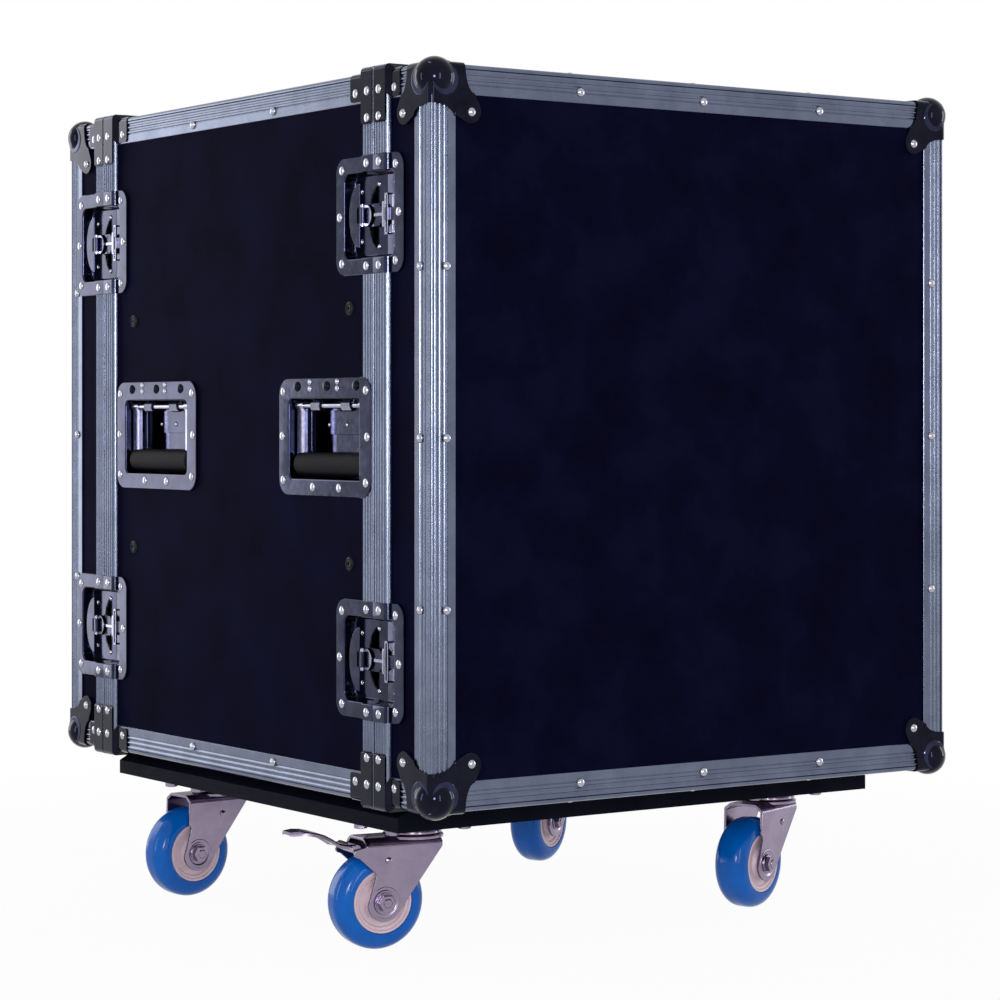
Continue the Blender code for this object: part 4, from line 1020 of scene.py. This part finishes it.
for endName, end in ends.items():
    twistBody, keeperBody = ("case", "front_lid") if end < 0 else ("rear_lid", "case")
    rims = {twistBody: [], keeperBody: []}
    for name, side, levelZ in latchesOf(endName):
        for body, half in ((twistBody, "twist"), (keeperBody, "keeper")):
            newPiece(f"latch_{half}_dish_{name}", latchDishHalf(end, side, levelZ, half), dishChrome, body,
                     wall=latch["wall"], facing=(side, 0, 0))
            rims[body] += latchRivetSpots(end, side, levelZ, half, ("seam", "panel"))
            rivets(f"latch_{half}_floor_rivets_{name}", latchRivetSpots(end, side, levelZ, half, ("floor",)),
                   body, scale=latchRivets["floorScale"])
        newPiece(f"latch_keeper_{name}", join(latchKeeper(end, side, levelZ), keeperLoop(end, side, levelZ)),
                 brightSteel, keeperBody)
        for part, bm, mat in (("hub", makeLatchHub(), brightSteel), ("wing", makeLatchWing(), dishChrome),
                              ("hook", makeLatchHook(), dishChrome)):
            body = f"latch_{part}_{name}"
            newPiece(f"{part}_{name}", atLatch(bm, end, side, levelZ), mat, body, node=body)
        newPiece(f"hook_rib_{name}", atLatch(makeHookRib(), end, side, levelZ), brightSteel, body)
    for body, spots in rims.items():
        rivets(f"{body}_{endName}_latch_rivets", spots, body, dome="low")
print("latches made")


# Handles in their places

for endName, end in ends.items():
    for sideName, side in sides.items():
        name = f"{endName}_{sideName}"
        body = f"handle_grip_{name}"
        newPiece(f"handle_pan_{name}", makeHandleDish(end, side), dishChrome, "case",
                 node=f"handle_dish_{name}", wall=handle["wall"], facing=(side, 0, 0))
        rivets(f"handle_rivets_{name}", handleRivetSpots(end, side, "flange"), "case", dome="low")
        rivets(f"handle_hinge_rivets_{name}", handleRivetSpots(end, side, "hinge"), "case", chrome,
               handleRivets["hingeScale"])
        rivets(f"handle_spring_rivets_{name}", handleRivetSpots(end, side, "spring"), "case",
               scale=handleRivets["springScale"])
        newPiece(f"grip_legs_{name}", gripPlace(makeGripSteel(), end, side), brightSteel, body,
                 edge=grip["rim"])
        newPiece(f"grip_bar_{name}", gripPlace(makeGripBar(), end, side), gripRubber, body,
                 body)
        newPiece(f"handle_stop_plate_{name}", makeStopPlate(end, side), dishChrome, "case",
                 edge=stopPlate["rim"])
        rivets(f"handle_stop_rivets_{name}", stopPlateSpots(end, side), "case",
               scale=stopPlate["rivetScale"])
        newPiece(f"grip_springs_{name}", gripPlace(makeCoils(), end, side), brightSteel, "case")
print("handles made")


# Casters

headings = {"front_left": (173, True), "rear_left": (185, False), "front_right": (200, False),
            "rear_right": (208, True)}  # degrees round Z, and whether it has a brake
caster = inMetres({"trail": 34, "crownTop": 92.5, "sheet": 2.5, "inner": 17.3, "shoulder": 6.5,
                   "front": 18.2, "lip": 3, "back": 7.8, "neck": 22, "corner": 4, "end": 15.5,
                   "tail": 1.5, "brakeTail": 9, "rim": 0.6, "bridgeRim": 0.5, "rivetAt": 8,
                   "brakeRivetAt": 31, "rivetHigh": 74})
shoulders = {"foot": ((0, 0), (0, 0.8), (-1.2, 2.4)), "top": ((-6, -0.6), (-8, 0)), "inTop": ((-8, -2.5),),
             "inFoot": ((-2.8, 0),)}  # from the cheek's outer face, in millimetres
crownProfile = ((0, -2.5), (25.5, -2.5), (25.5, -0.6), (24.9, 0), (19, 0), (17.5, 0.9), (15, 2.4), (15, 2.9),
                (0, 2.9))
axleParts = {"ring": (48, ((13.2, -0.2), (12.6, 0.5), (11.4, 0.7), (10.2, 0.3), (9.2, -0.2))),
             "washer": (40, ((0, 0), (8.4, 0), (8.4, 0.7), (8.0, 1.1), (0, 1.1))),
             "nut": (6, ((0, 1.0), (7.0, 1.0), (7.4, 1.5), (7.4, 4.6), (6.6, 5.3), (4.2, 5.3), (3.9, 4.9))),
             "threadEnd": (24, ((0, 0), (3.6, 0), (3.6, 5.5), (3.1, 6.0), (0, 6.0))),
             "cheekRivet": (20, ((0, -0.2), (2.9, -0.2), (2.7, 0.8), (1.6, 1.5), (0, 1.7)))}
wheel = inMetres({"radius": 40, "half": 15.5, "round": 12, "core": 26.5, "hub": 12, "bore": 4.3,
                  "boreIn": 0.2}) | {"steps": 72}
corePoints = {"rim": ((-0.3, -1.4), (-0.8, -0.4), (-2.6, -0.4), (-3.4, -1.6), (-5.4, -1.8), (-6.4, -3.5)),
              "hub": ((2.4, -3.5), (0.6, -1.2), (0, -0.2))}
pedal = inMetres({"axis": 58, "height": 84.5, "reach": 113, "top": 101, "half": 14, "thick": 3.5,
                  "barrel": 3.5, "eye": 3.6, "eyeDrop": 3.5, "armDrop": 7.5, "armIn": 1})
pedalCurve = ((0, 0), (0.12, 0.02), (0.24, 0.14), (0.36, 0.42), (0.48, 0.66), (0.60, 0.81), (0.72, 0.92),
              (0.86, 0.99), (1, 0.98))
pedalWidths = (0.92, 0.92, 0.92, 0.92, 0.92, 0.92, 0.9, 0.8, 0.62)
pedalSection = ((-1.0, -1.0), (-0.97, -0.35), (-0.86, 0), (0.86, 0), (0.97, -0.35), (1.0, -1.0), (0.9, -1.0),
                (0.82, -0.75), (-0.82, -0.75), (-0.9, -1.0))
topPlate = inMetres({"thick": 3, "corner": 6, "rim": 0.5, "boltIn": 9, "raceIn": 20})
raceProfile = ((15.6, 4.4), (17, 1.4), (22.6, 0.5), (24, 1.4), (24, 4), (22, 7.4))
boltHead = ((0, 0), (6.5, 0), (6.5, 1.0), (5.9, 1.3), (5.6, 1.3), (5.6, 4.4), (5.0, 4.9), (0, 4.9))


def cheekOutline(brake):
    # one side of the fork in (towards the wheel, up), with a longer arm where a pedal hangs
    c, p = caster, pedal
    back = c["trail"] + c["back"]
    top = c["crownTop"] - c["shoulder"]
    points = [(-c["front"], top), (-c["front"], top - c["lip"])]
    points += arc((c["trail"], wheel["radius"]), c["end"], 205, 350, 14)
    points += arc((back + c["corner"], wheel["radius"] + c["neck"]), c["corner"], 180, 115, 4)
    if brake:
        points.append((p["axis"] - p["armIn"], p["height"] - p["armDrop"]))
        points += arc((p["axis"], p["height"] - p["eyeDrop"]), p["eye"], -75, 60, 5)
    return points + [(back + c["brakeTail" if brake else "tail"], top)]


def makeForkBody(brake):
    # pressed cheeks, sloping shoulders and the crown with the lower ball race
    c = caster
    outer, top = c["inner"] + c["sheet"], c["crownTop"]
    foot = top - c["shoulder"]
    outside = pointsInMm(shoulders["foot"], (outer, foot)) + pointsInMm(shoulders["top"], (outer, top))
    within = pointsInMm(shoulders["inTop"], (outer, top)) + pointsInMm(shoulders["inFoot"], (outer, foot))
    section = [(-y, z) for y, z in outside] + outside[::-1] + within[::-1] + [(-y, z) for y, z in within]
    back = c["trail"] + c["back"] + c["brakeTail" if brake else "tail"]
    bridge = sweep(section, alongX, (-c["front"], back))
    roundEdges(bridge, edgesAcross(bridge, "x"), c["bridgeRim"])
    parts = [bridge, turned(pointsInMm(crownProfile, (0, top)), 64)]
    for low, high in mirrored(c["inner"], outer):
        cheek = plate(cheekOutline(brake), alongY, low, high)
        roundEdges(cheek, edgesAcross(cheek, "y"), c["rim"])
        parts.append(cheek)
    return join(*parts)


def makeAxleParts(brake):
    # washer, hexagon nut and thread end on both sides, the dished ring round them, and a cheek rivet
    c = caster
    parts = []
    for way in (-1, 1):
        for part, (steps, profile) in axleParts.items():
            x, z = c["trail"], wheel["radius"]
            if part == "cheekRivet":
                x, z = c["brakeRivetAt" if brake else "rivetAt"], c["rivetHigh"]
            parts.append(turned(pointsInMm(profile), steps, axis=(0, way, 0),
                                at=(x, way * (c["inner"] + c["sheet"]), z)))
    return join(*parts)


def turnedOnAxle(side):
    # spin one half of a wheel's section with its mirror image, and close the bore
    profile = [(r, -y) for r, y in reversed(side)] + side
    return closeGap(turned(profile, wheel["steps"], axis=(0, 1, 0)))


def makeTyreMesh():
    # a rounded tread that meets the core behind a small step
    w = wheel
    tread = arc((w["radius"] - w["round"], w["half"] - w["round"]), w["round"], 0, 84, 9)
    return turnedOnAxle(tread + pointsInMm(((0, -0.1), (-0.4, -1.2)), (w["core"], w["half"])))


def makeCoreMesh():
    # stepped moulded centre: rim, recessed web and hub
    w = wheel
    rim = pointsInMm(corePoints["rim"], (w["core"], w["half"]))
    boss = pointsInMm(corePoints["hub"], (w["hub"], w["half"]))
    return turnedOnAxle(rim + boss + [(w["bore"], w["half"] - w["boreIn"])])


def makePedal():
    # dished tread that rises to its tip, on a barrel between the fork's arms
    p = pedal
    reach, rise = p["reach"] - p["axis"], p["top"] - p["height"]
    stations = [(p["axis"] + reach * u, p["height"] + rise * v + p["barrel"] * (1 - u), width)
                for (u, v), width in zip(pedalCurve, pedalWidths)]

    def place(u, v, station):
        x, z, width = station
        return (x, u * p["half"] * width, z + v * p["thick"])

    half = caster["inner"] - gap
    barrel = turned(rectangle(0, p["barrel"], -half, half), 28, axis=(0, 1, 0),
                    at=(p["axis"], 0, p["height"]))
    return join(sweep(pedalSection, place, stations), barrel)


def makeCasterPlate():
    # top plate with four bolts and the upper ball race
    t = topPlate
    low, high = boxOf("caster_plate_front_left")
    halfX, halfY = (high.x - low.x) / 2, (high.y - low.y) / 2
    top, thick = high.z, t["thick"]
    bm = bmesh.new()
    bmesh.ops.create_cube(bm, size=1.0, matrix=Matrix.Translation((0, 0, top - thick / 2))
                          @ Matrix.Diagonal((2 * halfX, 2 * halfY, thick, 1)))
    upright = [e for e in bm.edges if abs(e.verts[0].co.z - e.verts[1].co.z) > thick / 2]
    roundEdges(bm, upright, t["corner"], 6)
    roundEdges(bm, edgesAcross(bm, "z"), t["rim"])
    race = turned(pointsInMm(raceProfile, (0, caster["crownTop"])) + [(t["raceIn"], top - thick / 2)], 64)
    bolts = [turned(pointsInMm(boltHead), 6, axis=(0, 0, -1),
                    at=(x * (halfX - t["boltIn"]), y * (halfY - t["boltIn"]), top - thick))
             for x in (-1, 1) for y in (-1, 1)]
    return join(bm, race, *bolts)


for name, (heading, brake) in headings.items():
    low, high = boxOf(f"caster_plate_{name}")
    fixed = Matrix.Translation(((low.x + high.x) / 2, (low.y + high.y) / 2, 0))
    turn = fixed @ Matrix.Rotation(radians(heading), 4, "Z")  # on the floor under the swivel, X to the wheel
    axle = turn @ Matrix.Translation((caster["trail"], 0, wheel["radius"]))
    plateNode, fork, wheelNode, brakeNode = (f"{kind}_{name}" for kind in
                                             ("caster_plate", "caster_fork", "caster_wheel", "brake_pedal"))
    pieces = [("plate", makeCasterPlate(), fixed, zincSteel, "case", "zinc_steel", plateNode),
              ("fork", makeForkBody(brake), turn, zincSteel, fork, "zinc_steel", fork),
              ("axle", makeAxleParts(brake), turn, zincSteel, fork, "zinc_steel", None),
              ("core", makeCoreMesh(), axle, coreBeige, wheelNode, "blue_tyre", None),
              ("tyre", makeTyreMesh(), axle, tyreBlue, wheelNode, "blue_tyre", wheelNode)]
    if brake:
        pieces.append(("pedal", makePedal(), turn, zincSteel, brakeNode, "zinc_steel", brakeNode))
    for part, bm, matrix, mat, body, slotName, node in pieces:
        bmesh.ops.transform(bm, matrix=matrix, verts=bm.verts)
        newPiece(f"{part}_{name}", bm, mat, body, node)
print("casters made")


# Panels, rails and board keep their solids and take their finish here

finishes = {laminate: ["body_top_panel", "body_bottom_panel", "body_left_panel", "body_right_panel",
                       "front_lid_panel", "rear_lid_panel"],
            railPaint: [f"rack_rail_{endName}_{sideName}" for endName in ends for sideName in sides],
            boardPaint: ["caster_board"]}
for mat, nodes in finishes.items():
    for node in nodes:
        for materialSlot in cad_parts[node].material_slots:
            materialSlot.material = mat
print("panels finished")


# Floor, backdrop, light and camera

stageLook = {"floor": "#F3F3F5", "near": 0.6, "far": 1.3, "white": 0.96, "fill": 0.42, "size": 12.0}
cameraView = {"lens": 104.42, "sensor": 36, "place": (-1.4876, -2.1785, 0.4345), "turn": -34.528,
              "shift": -0.0819}
lamps = {"key": {"at": (-1.62, -2.36, 0.62), "aim": (0, 0, 0.4), "size": (0.45, 0.45), "power": 26},
         "side panel": {"at": (-1.08, 2.25, 0.5), "aim": (-0.25, 0, 0.45), "size": (1.0, 2.4), "power": 18},
         "left strip": {"at": (-2.9, 0.75, 0.6), "aim": (-0.25, 0, 0.4), "size": (0.4, 1.8), "power": 15},
         "right strip": {"at": (2.9, -0.95, 0.6), "aim": (0, -0.3, 0.4), "size": (0.5, 1.8), "power": 20},
         "front strip": {"at": (-0.35, -3.1, 0.6), "aim": (0, -0.3, 0.4), "size": (0.3, 1.8), "power": 14}}


def whiteToCamera(tree, fill):
    # strength 1 where the camera, a mirror or glass looks, and a softer fill for the light itself
    rays = addNode(tree, "ShaderNodeLightPath").outputs
    seen = rays["Is Camera Ray"]
    for kind in ("Is Glossy Ray", "Is Transmission Ray"):
        seen = addNode(tree, "ShaderNodeMath", [(seen, 0), (rays[kind], 1)], operation="MAXIMUM").outputs[0]
    strength = addNode(tree, "ShaderNodeMapRange", [(seen, "Value")], in_To_Min=fill, in_To_Max=1.0)
    return strength.outputs["Result"]


def makeWorld():
    world = bpy.data.worlds.new("studio")
    bpy.context.scene.world = world
    world.use_nodes = True
    background = world.node_tree.nodes["Background"]
    background.inputs["Color"].default_value = (1, 1, 1, 1)
    strength = whiteToCamera(world.node_tree, stageLook["fill"])
    world.node_tree.links.new(strength, background.inputs["Strength"])


def makeFloor():
    # pale matt floor that turns to the backdrop's white with distance
    mat = bpy.data.materials.new("paintedStudioFloor")
    mat.use_nodes = True
    tree = mat.node_tree
    shader = tree.nodes["Principled BSDF"]
    shader.inputs["Base Color"].default_value = linear(stageLook["floor"])
    shader.inputs["Roughness"].default_value = 0.8
    place = addNode(tree, "ShaderNodeTexCoord").outputs["Object"]
    reach = addNode(tree, "ShaderNodeVectorMath", [(place, 0)], operation="LENGTH")
    fade = addNode(tree, "ShaderNodeMapRange", [(reach.outputs["Value"], "Value")],
                   interpolation_type="SMOOTHSTEP", in_From_Min=stageLook["near"],
                   in_From_Max=stageLook["far"], in_To_Min=stageLook["white"])
    glow = addNode(tree, "ShaderNodeEmission", [(whiteToCamera(tree, stageLook["fill"]), "Strength")])
    mix = addNode(tree, "ShaderNodeMixShader", [(fade.outputs["Result"], 0), (shader.outputs["BSDF"], 1),
                                                (glow.outputs["Emission"], 2)])
    tree.links.new(mix.outputs["Shader"], tree.nodes["Material Output"].inputs["Surface"])
    bm = bmesh.new()
    bmesh.ops.create_grid(bm, x_segments=1, y_segments=1, size=stageLook["size"] / 2)
    addObject("floor", meshFrom("floor", bm, mat))


def makeLamp(name, settings):
    light = bpy.data.lights.new(name, "AREA")
    light.shape = "RECTANGLE"
    light.size, light.size_y = settings["size"]
    light.energy = settings["power"]
    spot = Vector(settings["at"])
    way = Vector(settings["aim"]) - spot
    turn = way.to_track_quat("-Z", "Y").to_matrix().to_4x4()
    addObject(name, light).matrix_world = Matrix.Translation(spot) @ turn


def makeCamera():
    view = cameraView
    data = bpy.data.cameras.new("camera")
    data.lens = view["lens"]
    data.sensor_width = view["sensor"]
    data.shift_y = view["shift"]
    camera = addObject("camera", data)
    x, y, z = view["place"]
    camera.location = (x + caseX, y, z)
    camera.rotation_euler = (radians(90), 0, radians(view["turn"]))
    bpy.context.scene.camera = camera


makeWorld()
makeFloor()
for lampName, lampSettings in lamps.items():
    makeLamp(lampName, lampSettings)
makeCamera()
bpy.context.scene.view_settings.view_transform = "Standard"
print("stage, light and camera made")
